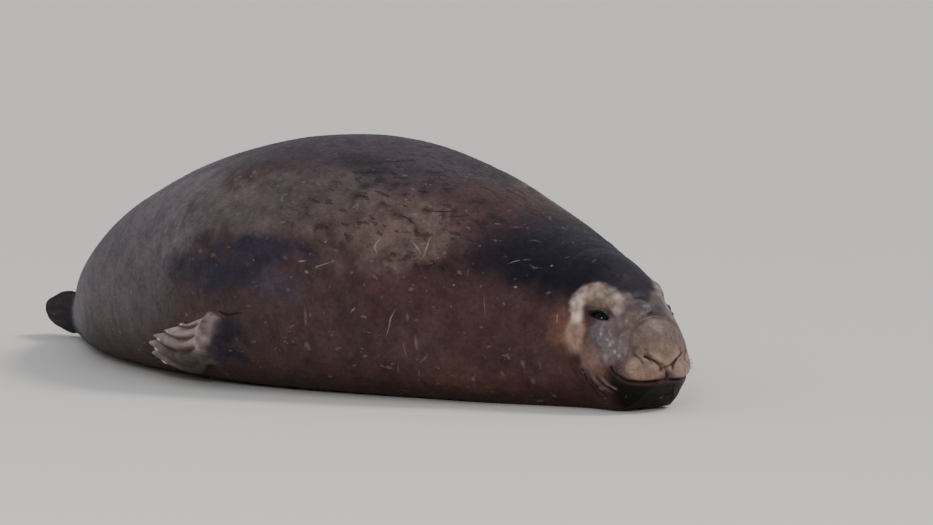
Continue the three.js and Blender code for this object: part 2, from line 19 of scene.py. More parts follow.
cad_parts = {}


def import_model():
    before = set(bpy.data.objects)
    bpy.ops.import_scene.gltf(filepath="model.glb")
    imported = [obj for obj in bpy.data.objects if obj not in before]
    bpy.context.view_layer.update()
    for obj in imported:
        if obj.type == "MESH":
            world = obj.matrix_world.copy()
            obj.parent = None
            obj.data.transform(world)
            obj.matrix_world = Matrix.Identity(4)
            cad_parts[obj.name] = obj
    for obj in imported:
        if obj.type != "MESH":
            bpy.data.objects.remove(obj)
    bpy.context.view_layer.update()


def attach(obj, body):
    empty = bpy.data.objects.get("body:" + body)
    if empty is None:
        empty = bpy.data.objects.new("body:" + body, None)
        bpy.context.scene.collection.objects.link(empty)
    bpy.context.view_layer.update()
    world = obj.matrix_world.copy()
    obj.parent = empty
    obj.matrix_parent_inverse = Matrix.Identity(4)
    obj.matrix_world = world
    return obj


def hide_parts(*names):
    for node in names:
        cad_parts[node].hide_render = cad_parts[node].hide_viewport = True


LOG = logging.getLogger("elephant_seal")
Array = np.ndarray
Marks = Sequence[Sequence[float]]
Triple = tuple[float, float, float]
Surface = tuple[Array, list[Array]]  # points, and faces by their number of corners
Piece = bpy.types.Object
Material = bpy.types.Material
Socket = bpy.types.NodeSocket

ORIGIN_MM = np.array([67.65, 0.22, 0.0])  # the floor point under the middle of the whole animal
TAU = 2.0 * math.pi
CORNER_PRIMES = np.array([73856093, 19349663, 83492791])  # they scatter the corners of a lattice
SEED_PRIME, LAST_PRIME = 2654435761, 1274126177


class Side(Enum):
    """One side of the animal: the sign of y there."""

    RIGHT = -1
    LEFT = 1

    @property
    def label(self) -> str:
        """Returns the side's word, as the node names have it."""
        return self.name.lower()

    def angle(self, up: Array | float) -> Array | float:
        """Returns the angle round the body for an angle up this flank."""
        return up if self is Side.LEFT else math.pi - up


def smooth(value: Array | float, low: float, high: float) -> Array:
    """Eases from 0 at low to 1 at high, which may lie below it: t^2 (3 - 2t), with t held in 0 to 1."""
    t = np.clip((np.asarray(value, float) - low) / (high - low), 0.0, 1.0)
    return t * t * (3.0 - 2.0 * t)


def bell(value: Array | float, width: float) -> Array:
    """Returns the bell curve exp(-(value / width) squared)."""
    return np.exp(-((np.asarray(value, float) / width) ** 2))


def unit(ways: Array) -> Array:
    """Returns directions at length 1."""
    return ways / np.maximum(np.linalg.norm(ways, axis=-1, keepdims=True), 1e-9)


def square_to(ways: Array, others: Array) -> Array:
    """Returns directions less their share along others, at length 1."""
    return unit(ways - others * (ways * others).sum(axis=-1, keepdims=True))


def signed_power(value: Array, power: Array | float) -> Array:
    """Returns the size of the value to the power, with the value's own sign."""
    return np.sign(value) * np.abs(value) ** power


def through(knots: Array, values: Array, x: Array | float) -> Array:
    """Follows a smooth curve through values at uneven knots.

    Each span is the cubic 2t^3 - 3t^2 + 1 and its partners, with the slope at a knot weighed from both
    neighbouring spans.

    Args:
        knots: Rising places of the values.
        values: The value at each knot.
        x: Where the curve is wanted.

    Returns:
        The curve's value at x.
    """
    spans = np.diff(knots)
    slopes = np.diff(values) / spans
    tangents = np.empty(len(values))
    tangents[1:-1] = (slopes[:-1] * spans[1:] + slopes[1:] * spans[:-1]) / (knots[2:] - knots[:-2])
    tangents[0], tangents[-1] = slopes[0], slopes[-1]
    x = np.clip(np.asarray(x, float), knots[0], knots[-1])
    i = np.clip(np.searchsorted(knots, x, side="right") - 1, 0, len(knots) - 2)
    h = spans[i]
    t = (x - knots[i]) / h
    keep = (2 * t**3 - 3 * t**2 + 1) * values[i] + (3 * t**2 - 2 * t**3) * values[i + 1]
    return keep + (t**3 - 2 * t**2 + t) * h * tangents[i] + (t**3 - t**2) * h * tangents[i + 1]


def near_line(points: Array, marks: Marks, width: float) -> Array:
    """Tells how near points are to a broken line: the bell curve of the distance to its nearest stretch.

    Args:
        points: An array whose last axis is (x, y, z).
        marks: The line's corners.
        width: The distance at which the bell has fallen to 1/e.

    Returns:
        1 on the line, falling to 0 away from it.
    """
    corners = np.asarray(marks, float)
    nearest = np.full(points.shape[:-1], 1e9)
    for start, end in zip(corners[:-1], corners[1:]):
        run = end - start
        t = np.clip(((points - start) @ run) / (run @ run), 0.0, 1.0)
        nearest = np.minimum(nearest, np.linalg.norm(points - start - t[..., None] * run, axis=-1))
    return bell(nearest, width)


def swelling(points: Array, centre: Sequence[float], reach: Sequence[float]) -> Array:
    """Returns a soft lump: the bell of the distance to its centre, in its own reach along each axis."""
    away = (points - np.asarray(centre, float)) / np.asarray(reach, float)
    return np.exp(-(away**2).sum(axis=-1))


def speckle(points: Array, cell: float, seed: int) -> Array:
    """Draws smooth random values in space.

    A random number belongs to each corner of a cubic lattice; between corners the eight are mixed with
    eased weights.

    Args:
        points: An array whose last axis is (x, y, z).
        cell: The size of a lattice cell.
        seed: Chooses the draw; every use has its own.

    Returns:
        Values from 0 to 1, near 0.5 on average.
    """
    scaled = points / cell
    base = np.floor(scaled).astype(np.int64)
    part = scaled - base
    part = part * part * (3 - 2 * part)
    total = np.zeros(points.shape[:-1])
    for corner in range(8):
        step = np.array([corner & 1, corner >> 1 & 1, corner >> 2 & 1])
        mixed = np.bitwise_xor.reduce((base + step) * CORNER_PRIMES, axis=-1) ^ (seed * SEED_PRIME)
        mixed = (mixed ^ (mixed >> 13)) * LAST_PRIME
        drawn = ((mixed ^ (mixed >> 16)) & 0xFFFF) / 65535.0
        total += np.prod(np.where(step == 1, part, 1 - part), axis=-1) * drawn
    return total


def laid(colour: Array, layers: Iterable[tuple[Any, Array]]) -> Array:
    """Lays colours on a ground in turn, each by its weight.

    Args:
        colour: The ground's colours.
        layers: Pairs of a colour and its weight, from 0 to 1.

    Returns:
        The colours on top.
    """
    for over, weight in layers:
        share = np.asarray(weight)[..., None]
        colour = colour * (1 - share) + np.asarray(over, float) * share
    return colour


@dataclass(frozen=True)
class Bodyline:
    """The smooth trunk and head: sizes of its cross-sections and the swing of its midline."""

    # x, half width, height of the back, height of the underside, share of the widest height, lower squareness
    stations: tuple[tuple[float, ...], ...] = (
        (-1740, 44, 150, 48, 0.5, 2.1), (-1620, 105, 222, 24, 0.5, 2.2), (-1400, 228, 352, 6, 0.46, 2.6),
        (-1100, 405, 527, 0, 0.43, 3.0), (-700, 592, 716, 0, 0.41, 3.3), (-200, 742, 880, 0, 0.4, 3.5),
        (300, 800, 944, 0, 0.4, 3.5), (750, 700, 864, 0, 0.4, 3.4), (1100, 568, 757, 0, 0.41, 3.2),
        (1400, 448, 649, 0, 0.42, 3.0), (1620, 304, 582, 0, 0.42, 2.8), (1780, 234, 522, 0, 0.44, 2.4),
        (1900, 209, 424, 2, 0.46, 2.3), (2040, 169, 324, 14, 0.5, 2.3),
    )
    bend: float = 84.0
    bend_from: float = 200.0
    bend_reach: float = 2000.0
    turn: float = 61.0
    turn_from: float = 1450.0
    turn_reach: float = 570.0
    roof_power: float = 2.1
    sag: float = 30.0
    tail_end: float = -1730.0
    tail_cap: float = -1660.0
    nose_end: float = 2066.0
    nose_cap: float = 1890.0
    nose_power: float = 2.3

    def midline(self, x: Array | float) -> Array:
        """Returns y of the midline: a wide swing to the left, less the turn of the head to the right."""
        x = np.asarray(x, float)
        turned = np.maximum(x - self.turn_from, 0.0) / self.turn_reach
        return self.bend * ((x - self.bend_from) / self.bend_reach) ** 2 - self.turn * turned**2

    def folded(self, p: Array) -> Array:
        """Returns points as (x, distance from the midline, z), so that both sides are one."""
        return np.stack([p[..., 0], np.abs(p[..., 1] - self.midline(p[..., 0])), p[..., 2]], axis=-1)

    def height_share(self, p: Array) -> Array:
        """Returns the height of points as a share of the back's height there."""
        s = self.section(np.clip(p[..., 0], -1700, 2050))
        return p[..., 2] / np.maximum(s["middle"] + s["rise"], 1)

    def section(self, x: Array | float) -> dict[str, Array]:
        """Works out the cross-section at x.

        Its sizes come from the stations, and close at both ends by the share (1 - t^p)^(1/p).

        Args:
            x: Places along the body.

        Returns:
            Half width, middle height, rise above it, fall below it, flat underside and lower squareness.
        """
        x = np.asarray(x, float)
        table = np.array(self.stations, float)
        half, top, under, widest, power = (through(table[:, 0], table[:, k], x) for k in range(1, 6))
        nose = np.clip((x - self.nose_cap) / (self.nose_end - self.nose_cap), 0, 1)
        tail = np.clip((self.tail_cap - x) / (self.tail_cap - self.tail_end), 0, 1)
        shut = (1 - nose**self.nose_power) ** (1 / self.nose_power) * np.sqrt(1 - tail**2)
        under = np.maximum(under, 0)
        middle = under + (top - under) * widest
        return {"half": half * shut, "middle": middle, "rise": (top - middle) * shut,
                "fall": (middle - under + self.sag) * shut, "under": middle + (under - middle) * shut,
                "power": power}

    def point(self, x: Array, angle: Array) -> Array:
        """Places points of the smooth body.

        Across and up are the cosine and sine of the angle to the power 2/p, a superellipse, with its own p
        above and below the widest line; the underside is cut off flat.

        Args:
            x: Places along the body.
            angle: Angles round it, 0 on the left flank and a quarter turn on the back.

        Returns:
            The points, in millimetres.
        """
        s = self.section(x)
        up = np.sin(angle)
        power = np.where(up >= 0, self.roof_power, s["power"])
        lift = signed_power(up, 2 / power) * np.where(up >= 0, s["rise"], s["fall"])
        y = self.midline(x) + s["half"] * signed_power(np.cos(angle), 2 / power)
        z = np.maximum(s["middle"] + lift, s["under"])
        return np.stack(np.broadcast_arrays(np.asarray(x, float), y, z), axis=-1)

    def flank(self, x: Array, z: Array) -> Array:
        """Returns how far the flank stands from the midline at x and z, from the same superellipse."""
        s = self.section(x)
        above = z >= s["middle"]
        share = np.clip(np.abs(z - s["middle"]) / np.where(above, s["rise"], s["fall"]), 0, 0.995)
        power = np.where(above, self.roof_power, s["power"])
        return s["half"] * (1 - share**power) ** (1 / power)

    def angle_at(self, side: Side, x: float, z: float) -> float:
        """Returns the angle of the skin at x and z on one side."""
        s = self.section(x)
        above = z >= s["middle"]
        share = float(np.clip((z - s["middle"]) / (s["rise"] if above else s["fall"]), -1, 1))
        power = self.roof_power if above else float(s["power"])
        up = math.asin(float(signed_power(np.array(share), power / 2)))
        return side.angle(up)


@dataclass(frozen=True)
class EyeSizes:
    """Sizes of an eye and its lids, in millimetres."""

    x: float = 1867.0
    z: float = 350.0
    radius: float = 38.0
    sink: float = 34.0
    lid: float = 4.5
    half_length: float = 36.5
    rise_above: float = 16.0
    fall_below: float = 12.5
    pocket: float = 21.0
    ease: float = 2.5

    def height(self, b: Array) -> Array:
        """Returns how far the middle of the opening reaches up, or down where b is below 0."""
        return np.where(b > 0, self.rise_above, self.fall_below)

    def almond(self, a: Array, b: Array) -> Array:
        """Returns the reach of the opening at a: its height times (1 - |a / half length|^2.2)^0.9."""
        return self.height(b) * np.clip(1 - (np.abs(a) / self.half_length) ** 2.2, 0, 1) ** 0.9


@dataclass(frozen=True)
class FaceMarks:
    """Lines and lumps of the face as (x, distance from the midline, z); both sides share them."""

    brow: Marks = ((1772, 212, 384), (1798, 178, 428), (1842, 138, 450), (1896, 104, 424))
    orbit: Marks = ((1794, 205, 366), (1815, 176, 400), (1842, 142, 420), (1882, 122, 402), (1910, 120, 378))
    snout_crease: Marks = ((1990, 142, 286), (1988, 118, 300), (1984, 96, 316), (1981, 55, 338),
                           (1979, 0, 349))
    bridge_fold: Marks = ((1893, 84, 410), (1908, 36, 416), (1912, 0, 416))
    mouth: Marks = ((1952, 186, 168), (1962, 182, 150), (1976, 174, 137), (2004, 145, 121), (2040, 99, 115),
                    (2057, 54, 117), (2066, 0, 120))
    nostril: Marks = ((2041, 90, 210), (2051, 70, 202), (2060, 42, 188), (2065, 18, 172), (2067, 0, 162))
    philtrum: Marks = ((2067, 0, 164), (2067, 0, 146), (2063, 0, 122))
    nostril_wrinkles: tuple[Marks, ...] = (
        ((2040, 84, 232), (2052, 74, 200), (2056, 70, 184)),
        ((2020, 124, 214), (2034, 108, 198), (2040, 100, 186)),
    )
    cheek_folds: tuple[Marks, ...] = (
        ((1886, 207, 126), (1902, 200, 110), (1918, 193, 100), (1953, 170, 78)),
        ((1852, 216, 118), (1880, 208, 86), (1914, 193, 58)),
        ((1926, 196, 128), (1940, 186, 108), (1966, 162, 92)),
        ((1820, 224, 150), (1838, 222, 108), (1866, 212, 66)),
    )
    lid_creases: tuple[float, ...] = (1.55, 2.0, 2.5)
    # height, centre and reach of each lump; a hollow's height is below 0
    lumps: tuple[tuple[float, Triple, Triple], ...] = (
        (-7, (1867, 178, 344), (62, 80, 44)), (14, (2004, 128, 168), (56, 56, 36)),
        (9, (2020, 0, 278), (52, 96, 56)), (8, (1946, 0, 384), (26, 90, 30)),
        (8, (1880, 206, 196), (70, 60, 60)), (-7, (1944, 150, 300), (38, 50, 54)),
    )

    @property
    def relief(self) -> list[tuple[float, Marks, float]]:
        """Returns height, line and width of ridges and grooves, and of low rims beside deep grooves."""
        return [(17, self.brow, 32), (-5, self.orbit, 14),
                (-5, self.bridge_fold, 15), (-7, self.philtrum, 6.5),
                (-5, self.snout_crease, 11), (1.5, np.add(self.snout_crease, (-14, 0, 12)), 10),
                (-14, self.nostril, 5.6), (4, np.add(self.nostril, (0, 4, 13)), 9),
                (-15, self.mouth, 5.5), (4, np.add(self.mouth, (0, 0, 17)), 12),
                *((-4, line, 4.5) for line in self.nostril_wrinkles),
                *((-7, line, 6.5) for line in self.cheek_folds),
                *((3.5, np.add(line, (-12, 4, -4)), 9) for line in self.cheek_folds)]


@dataclass(frozen=True)
class SkinForm:
    """The worked skin: the smooth body with its face, folds and lids, a coat's depth inside the solids."""

    body: Bodyline = field(default_factory=Bodyline)
    eye: EyeSizes = field(default_factory=EyeSizes)
    marks: FaceMarks = field(default_factory=FaceMarks)
    coat_depth: float = 2.0
    neck_folds: tuple[float, ...] = (1600.0, 1486.0, 1352.0)

    def eye_frame(self, side: Side) -> tuple[Array, Array, Array, Array]:
        """Finds where an eye sits.

        Args:
            side: The side of the head.

        Returns:
            The ball's centre and the directions along the head, upwards and outwards.
        """
        angle = np.array(self.body.angle_at(side, self.eye.x, self.eye.z))
        point, outward = self.with_normal(np.array(self.eye.x), angle, lids=False)
        along = square_to(np.array([1.0, 0.0, -0.05]), outward)
        up = np.cross(outward, along) * -side.value
        return point - outward * (self.eye.sink - self.coat_depth), along, up, outward

    def with_normal(self, x: Array, angle: Array, lids: bool = True) -> tuple[Array, Array]:
        """Places points of the worked skin and the directions out of it.

        The direction is the cross product of the slopes of the smooth body; the relief moves each point
        along it.

        Args:
            x: Places along the body.
            angle: Angles round it.
            lids: Whether the lids and the pockets behind them are worked too.

        Returns:
            The points and the unit directions.
        """
        x, angle = np.broadcast_arrays(np.asarray(x, float), np.asarray(angle, float))
        point = self.body.point(x, angle)
        inner = np.clip(x, self.body.tail_end + 1.2, self.body.nose_end - 1.2)
        slope_x = self.body.point(inner + 1, angle) - self.body.point(inner - 1, angle)
        slope_round = self.body.point(inner, angle + 0.01) - self.body.point(inner, angle - 0.01)
        outward = unit(np.cross(slope_round, slope_x))
        out = self.face(self.body.folded(point)) + self.neck(point) + self.trunk(point) - self.coat_depth
        worked = point + outward * out[..., None]
        if lids:
            worked = self.lidded(worked)
        worked[..., 2] = np.maximum(worked[..., 2], 1.0)
        return worked, outward

    def face(self, p: Array) -> Array:
        """Works out the relief of the face.

        It is a sum of bells: lumps for the whisker pads, nose, cheeks and brows, less grooves along the
        lines of the creases, nostrils, lips and folds, and fine wrinkles from random values.

        Args:
            p: Points as (x, distance from the midline, z).

        Returns:
            How far the skin stands out of the smooth body.
        """
        out = sum(height * near_line(p, line, width) for height, line, width in self.marks.relief)
        out += sum(height * swelling(p, centre, reach) for height, centre, reach in self.marks.lumps)
        x, y, z = np.moveaxis(p, -1, 0)
        lines = np.abs(2 * speckle(p * (1.0, 0.6, 0.35), 17, 5) - 1) ** 0.7
        out -= smooth(x, 1640, 1760) * (1.6 * (1 - lines) + 1.5 * (speckle(p, 26, 9) - 0.5))
        pad = swelling(p, (2010, 122, 172), (42, 50, 30))
        rows = np.cos(TAU * (z + 0.35 * x) / 15) * np.cos(TAU * (x - 0.6 * y) / 17)
        out += 1.5 * pad * np.maximum(rows, 0) ** 2
        jaw = smooth(z, 112, 50) * smooth(x, 1930, 2045)
        return out * smooth(x, 1640, 1700) - 16 * jaw

    def neck(self, p: Array) -> Array:
        """Returns the rolls of the drawn-in neck: shallow bells across it that fade at the floor."""
        fade = smooth(p[..., 2], 20, 160)
        out = np.zeros(p.shape[:-1])
        for at in self.neck_folds:
            out -= 4 * fade * bell(p[..., 0] - at - 0.12 * (p[..., 2] - 300), 30)
        ripple = np.sin(TAU * (p[..., 0] + 0.15 * p[..., 2] + 26 * speckle(p, 150, 3)) / 46)
        return out + 1.3 * ripple * fade * smooth(p[..., 0], 1240, 1420) * smooth(p[..., 0], 1760, 1640)

    def trunk(self, p: Array) -> Array:
        """Returns the soft unevenness of fat under the hide."""
        body = smooth(p[..., 0], 1500, 1200) * smooth(p[..., 2], 10, 120)
        return body * (9 * (speckle(p, 260, 21) - 0.5) + 3 * (speckle(p, 90, 22) - 0.5))

    def lidded(self, worked: Array) -> Array:
        """Shapes lids round each eye.

        In the eye's own axes the skin is raised to a dome a lid's thickness over the ball, and inside the
        almond of the opening it drops into a pocket behind the ball. Rings of small grooves lie round it.

        Args:
            worked: Points of the skin.

        Returns:
            The points with both eyes' lids.
        """
        e = self.eye
        for side in Side:
            centre, along, up, outward = self.eye_frame(side)
            a, b, c = ((worked - centre) @ way for way in (along, up, outward))
            flat = np.hypot(a, b)
            ring = np.hypot(a / e.half_length, b / e.height(b))
            inside = smooth(e.almond(a, b) - 1.5 - np.abs(b), -2.4, 2.4) * (np.abs(a) < e.half_length * 1.02)
            shell = e.radius + e.lid + 2.5 * bell(ring - 1.15, 0.22) + 1.5 * (b > 0) * bell(ring - 1.3, 0.3)
            dome = np.sqrt(np.maximum(shell**2 - flat**2, 0))
            over = np.logaddexp(c / e.ease, dome / e.ease) * e.ease
            beside = np.logaddexp(c / e.ease, 0) * e.ease * (c > 0) + np.minimum(c, 0)
            lifted = np.where(flat < shell, over, beside)
            for radius in self.marks.lid_creases:
                lifted = lifted - 1.7 * bell(ring - radius, 0.14) * smooth(b, -24, 6)
            target = lifted * (1 - inside) + (e.sink - e.pocket) * inside
            fade = smooth(flat, 120, 84) * (c > -40)
            worked = worked + ((target - c) * fade)[..., None] * outward
        return worked


def mesh_piece(name: str, points: Array, faces: Sequence[Array]) -> Piece:
    """Makes a smooth-shaded object from points and faces.

    Args:
        name: The object's name.
        points: An array of (x, y, z), in millimetres.
        faces: Arrays of faces, each with rows of one length.

    Returns:
        The object, standing at the origin.
    """
    mesh = bpy.data.meshes.new(name)
    mesh.vertices.add(len(points))
    mesh.vertices.foreach_set("co", ((points - ORIGIN_MM) / 1000.0).astype(np.float32).ravel())
    sizes = np.concatenate([np.full(len(rows), rows.shape[1], np.int32) for rows in faces])
    mesh.loops.add(int(sizes.sum()))
    mesh.loops.foreach_set("vertex_index", np.concatenate([rows.ravel() for rows in faces]).astype(np.int32))
    mesh.polygons.add(len(sizes))
    mesh.polygons.foreach_set("loop_start", (np.cumsum(sizes) - sizes).astype(np.int32))
    mesh.polygons.foreach_set("use_smooth", np.ones(len(sizes), bool))
    mesh.update(calc_edges=True)
    mesh.validate()
    piece = bpy.data.objects.new(name, mesh)
    bpy.context.scene.collection.objects.link(piece)
    return piece


def places_of(piece: Piece) -> Array:
    """Returns the points of a piece, in metres."""
    places = np.empty(len(piece.data.vertices) * 3, np.float32)
    piece.data.vertices.foreach_get("co", places)
    return places.reshape(-1, 3).astype(float)


def face_outwards(piece: Piece) -> None:
    """Turns a closed mesh inside out if its volume, summed over its faces, is negative."""
    mesh = piece.data
    mesh.calc_loop_triangles()
    corners = np.empty(len(mesh.loop_triangles) * 3, np.int32)
    mesh.loop_triangles.foreach_get("vertices", corners)
    a, b, c = np.moveaxis(places_of(piece)[corners.reshape(-1, 3)], 1, 0)
    if (a * np.cross(b, c)).sum() < 0:
        mesh.flip_normals()


def store(piece: Piece, name: str, values: Array) -> None:
    """Stores a number, or a linear colour, for each point of a piece.

    Args:
        piece: The piece.
        name: What materials call the values.
        values: An array of numbers or of colours.
    """
    values = np.asarray(values, np.float32)
    if values.ndim == 1:
        piece.data.attributes.new(name, "FLOAT", "POINT").data.foreach_set("value", values)
    else:
        rgba = np.concatenate([values, np.ones((len(values), 1), np.float32)], axis=1)
        piece.data.attributes.new(name, "FLOAT_COLOR", "POINT").data.foreach_set("color", rgba.ravel())


def closed_piece(name: str, surface: Surface, finish: Material, **values: Array) -> Piece:
    """Makes a closed piece whose faces look outwards.

    Args:
        name: The object's name.
        surface: Its points and faces.
        finish: Its material.
        values: Numbers or colours for its points, by the name the material reads.

    Returns:
        The object.
    """
    piece = mesh_piece(name, *surface)
    face_outwards(piece)
    for key, value in values.items():
        store(piece, key, value)
    piece.data.materials.append(finish)
    return piece


def ring_faces(first: int, second: int, count: int) -> Array:
    """Returns the quads between two closed rings of count points that begin at first and second."""
    j = np.arange(count)
    k = (j + 1) % count
    return np.stack([first + j, first + k, second + k, second + j], axis=1)


def fan_faces(first: int, apex: int, count: int, ahead: bool) -> Array:
    """Returns the triangles between a closed ring and a point ahead of it, or else behind it."""
    j = first + np.arange(count)
    return np.stack([*((j, np.roll(j, -1)) if ahead else (np.roll(j, -1), j)), np.full(count, apex)], axis=1)


def hoops(centre: Array, wide: Array, high: Array, across: Array, up: Array, count: int) -> Array:
    """Places rings of points, each an ellipse: wide times the cosine across, high times the sine up.

    Args:
        centre: The middle of each ring.
        wide: Half sizes across.
        high: Half sizes up.
        across: The direction across.
        up: The direction up.
        count: How many points a ring has.

    Returns:
        An array of rings, points and coordinates.
    """
    turn = TAU * np.arange(count) / count
    return centre + (wide * np.cos(turn))[..., None] * across + (high * np.sin(turn))[..., None] * up


def closed_tube(rings: Array, start: Array, end: Array) -> Surface:
    """Closes rings of points into one surface.

    Args:
        rings: An array of rings, points and coordinates.
        start: The point that closes the first ring.
        end: The point that closes the last ring.

    Returns:
        The points and the faces: quads between rings and a fan at each end.
    """
    rows, count = rings.shape[:2]
    quads = np.concatenate([ring_faces(i * count, (i + 1) * count, count) for i in range(rows - 1)])
    fans = np.concatenate([fan_faces(0, rows * count, count, False),
                           fan_faces((rows - 1) * count, rows * count + 1, count, True)])
    return np.concatenate([rings.reshape(-1, 3), [start, end]]), [quads, fans]


def closed_sheet(inner: Array, outer: Array) -> Surface:
    """Joins two skins over one grid into a closed surface.

    Args:
        inner: The grid of the skin nearer the body.
        outer: The grid of the skin farther from it.

    Returns:
        The points and quads.
    """
    rows, columns = inner.shape[:2]
    layer = rows * columns
    at = np.arange(layer).reshape(rows, columns)
    grid = np.stack([at[:-1, :-1], at[1:, :-1], at[1:, 1:], at[:-1, 1:]], axis=-1).reshape(-1, 4)
    rim = np.concatenate([at[0, :-1], at[:-1, -1], at[-1, :0:-1], at[:0:-1, 0]])
    after = np.roll(rim, -1)
    sides = np.stack([rim, after, after + layer, rim + layer], axis=1)
    return np.concatenate([inner.reshape(-1, 3), outer.reshape(-1, 3)]), [grid, grid[:, ::-1] + layer, sides]


def bundled(surfaces: Sequence[Surface]) -> Surface:
    """Puts several closed surfaces together as one.

    Args:
        surfaces: The surfaces, each with the same kinds of faces.

    Returns:
        All points and faces.
    """
    firsts = np.cumsum([0, *(len(points) for points, _ in surfaces)])
    kinds = zip(*(faces for _, faces in surfaces))
    return (np.concatenate([points for points, _ in surfaces]),
            [np.concatenate([rows + first for rows, first in zip(kind, firsts)]) for kind in kinds])


@dataclass
class Flipper:
    """What both kinds of flipper share: the side, the size of the grid and the digits."""

    side: Side = Side.RIGHT
    rows: int = 66
    columns: int = 56
    digits: int = 5

    def digit_wave(self, v: Array) -> Array:
        """Returns 1 along each digit and -1 midway between two: a cosine across the flipper."""
        return np.cos(TAU * v * (self.digits - 1))

    def shares(self, start: float) -> tuple[Array, Array]:
        """Returns the grid's shares from start to 1 along the flipper and from 0 to 1 across it."""
        along, across = np.linspace(start, 1, self.rows), np.linspace(0, 1, self.columns)
        return np.meshgrid(along, across, indexing="ij")


@dataclass
class ForeFlipper(Flipper):
    """A fore flipper laid back along the flank: an arm, a wrist and a hand of five digits."""

    floor_gap: float = 14.0
    nail_bed: float = 0.81
    web_depth: float = 44.0
    bow: float = 10.0
    bow_growth: float = 50.0
    arm_thickness: float = 62.0
    wrist_thickness: float = 46.0
    tip_thickness: float = 19.0
    edge_thickness: float = 7.0
    root_depth: float = 64.0
    stand: float = 4.0
    root: Marks = ((566, 262), (552, 204), (530, 134), (500, 74))
    wrist: Marks = ((378, 286), (372, 232), (350, 168), (300, 92))
    tips: Marks = ((212, 241), (110, 214), (20, 186), (-40, 152), (-74, 104))

    @staticmethod
    def across(marks: Marks, v: Array) -> Array:
        """Returns (x, z) at the share v of the way across, on a smooth curve through evenly shared marks."""
        table = np.asarray(marks, float)
        knots = np.linspace(0, 1, len(table))
        return np.stack([through(knots, table[:, k], v) for k in (0, 1)], axis=-1)

    def outline(self, u: Array, v: Array) -> Array:
        """Places the flipper as it is seen from the side: webs end short, and digits sag by a sine.

        Args:
            u: -1 at the root, 0 at the wrist, 1 at the tips.
            v: 0 at the upper edge, 1 at the lower.

        Returns:
            (x, z) of each place.
        """
        wrist, root, tip = (self.across(m, v) for m in (self.wrist, self.root, self.tips))
        web = ((1 - self.digit_wave(v)) / 2) ** 1.6
        reach = 1 - web * self.web_depth / np.linalg.norm(tip - wrist, axis=-1)
        hand = wrist + (tip - wrist) * (np.maximum(u, 0) * reach)[..., None]
        hand[..., 1] -= (self.bow + self.bow_growth * v) * np.sin(np.pi * np.maximum(u, 0))
        arm = wrist + (root - wrist) * np.maximum(-u, 0)[..., None]
        return np.where((u > 0)[..., None], hand, arm)

    def thickness(self, u: Array, v: Array) -> Array:
        """Works out the thickness of the flipper.

        It tapers from arm to tips, thins to both edges, and has round ridges along the digits, knuckles on
        them, a fold across the wrist and fine cross wrinkles.

        Args:
            u: -1 at the root, 0 at the wrist, 1 at the tips.
            v: 0 at the upper edge, 1 at the lower.

        Returns:
            The thickness in millimetres.
        """
        hand = self.wrist_thickness + (self.tip_thickness - self.wrist_thickness) * np.maximum(u, 0) ** 0.8
        arm = self.wrist_thickness + (self.arm_thickness - self.wrist_thickness) * -u
        body = np.where(u > 0, hand, arm)
        edge = np.sin(np.pi * (0.06 + 0.88 * v)) ** 0.55
        wave = self.digit_wave(v)
        ridge = 1 + ((0.5 + 0.5 * wave) ** 0.55 - 0.5) * smooth(u, 0.02, 0.42)
        knuckles = 1 + 0.10 * (bell(u - 0.4, 0.08) + bell(u - 0.7, 0.07)) * (wave > 0)
        wrinkle = 1.1 * np.sin(TAU * (u * 15 + 0.6 * np.sin(9 * v))) * smooth(u, -0.5, 0.1)
        wrist = 9 * bell(u - 0.02, 0.085) - 5 * bell(u + 0.16, 0.07)
        body = self.edge_thickness + (body - self.edge_thickness) * edge * ridge * knuckles
        return body * (1 - 0.3 * smooth(u, 0.8, 1)) + (wrinkle + wrist) * edge

    def skins(self, skin: SkinForm, u: Array, v: Array) -> tuple[Array, Array]:
        """Places both skins of the flipper against the flank.

        Args:
            skin: The skin the flipper lies on.
            u: Shares from root to tips.
            v: Shares from edge to edge.

        Returns:
            The grids of the inner and the outer skin.
        """
        flat = self.outline(u, v)
        x, z = flat[..., 0], np.maximum(flat[..., 1], self.floor_gap)
        sunk = self.root_depth * smooth(u, 0, -1)
        lean = (self.stand + 10 * np.maximum(u, 0) * v) * smooth(u, -0.3, 0.3)
        inner = skin.body.flank(x, z) - sunk + lean
        outer = inner + self.thickness(u, v) - 0.3 * sunk - skin.coat_depth
        mid = skin.body.midline(x)
        return tuple(np.stack([x, mid + self.side.value * off, z], axis=-1) for off in (inner, outer))

    def build(self, skin: SkinForm) -> Piece:
        """Builds the flipper as one closed object, ready to be joined to the skin."""
        surface = closed_sheet(*self.skins(skin, *self.shares(-1)))
        return mesh_piece(f"fore_flipper_form_{self.side.label}", *surface)

    def nail_frames(self, skin: SkinForm) -> list[tuple[Array, Array, Array]]:
        """Finds the bed of each nail.

        Args:
            skin: The skin the flipper lies on.

        Returns:
            For each digit the bed's place, the direction along the digit and the direction out of it.
        """
        frames = []
        for v in np.linspace(0, 1, self.digits):
            _, (bed, tip) = self.skins(skin, np.array([self.nail_bed, 1.0]), np.array([v, v]))
            forward = unit(tip - bed)
            frames.append((bed, forward, square_to(np.array([0.0, self.side.value, 0.0]), forward)))
        return frames


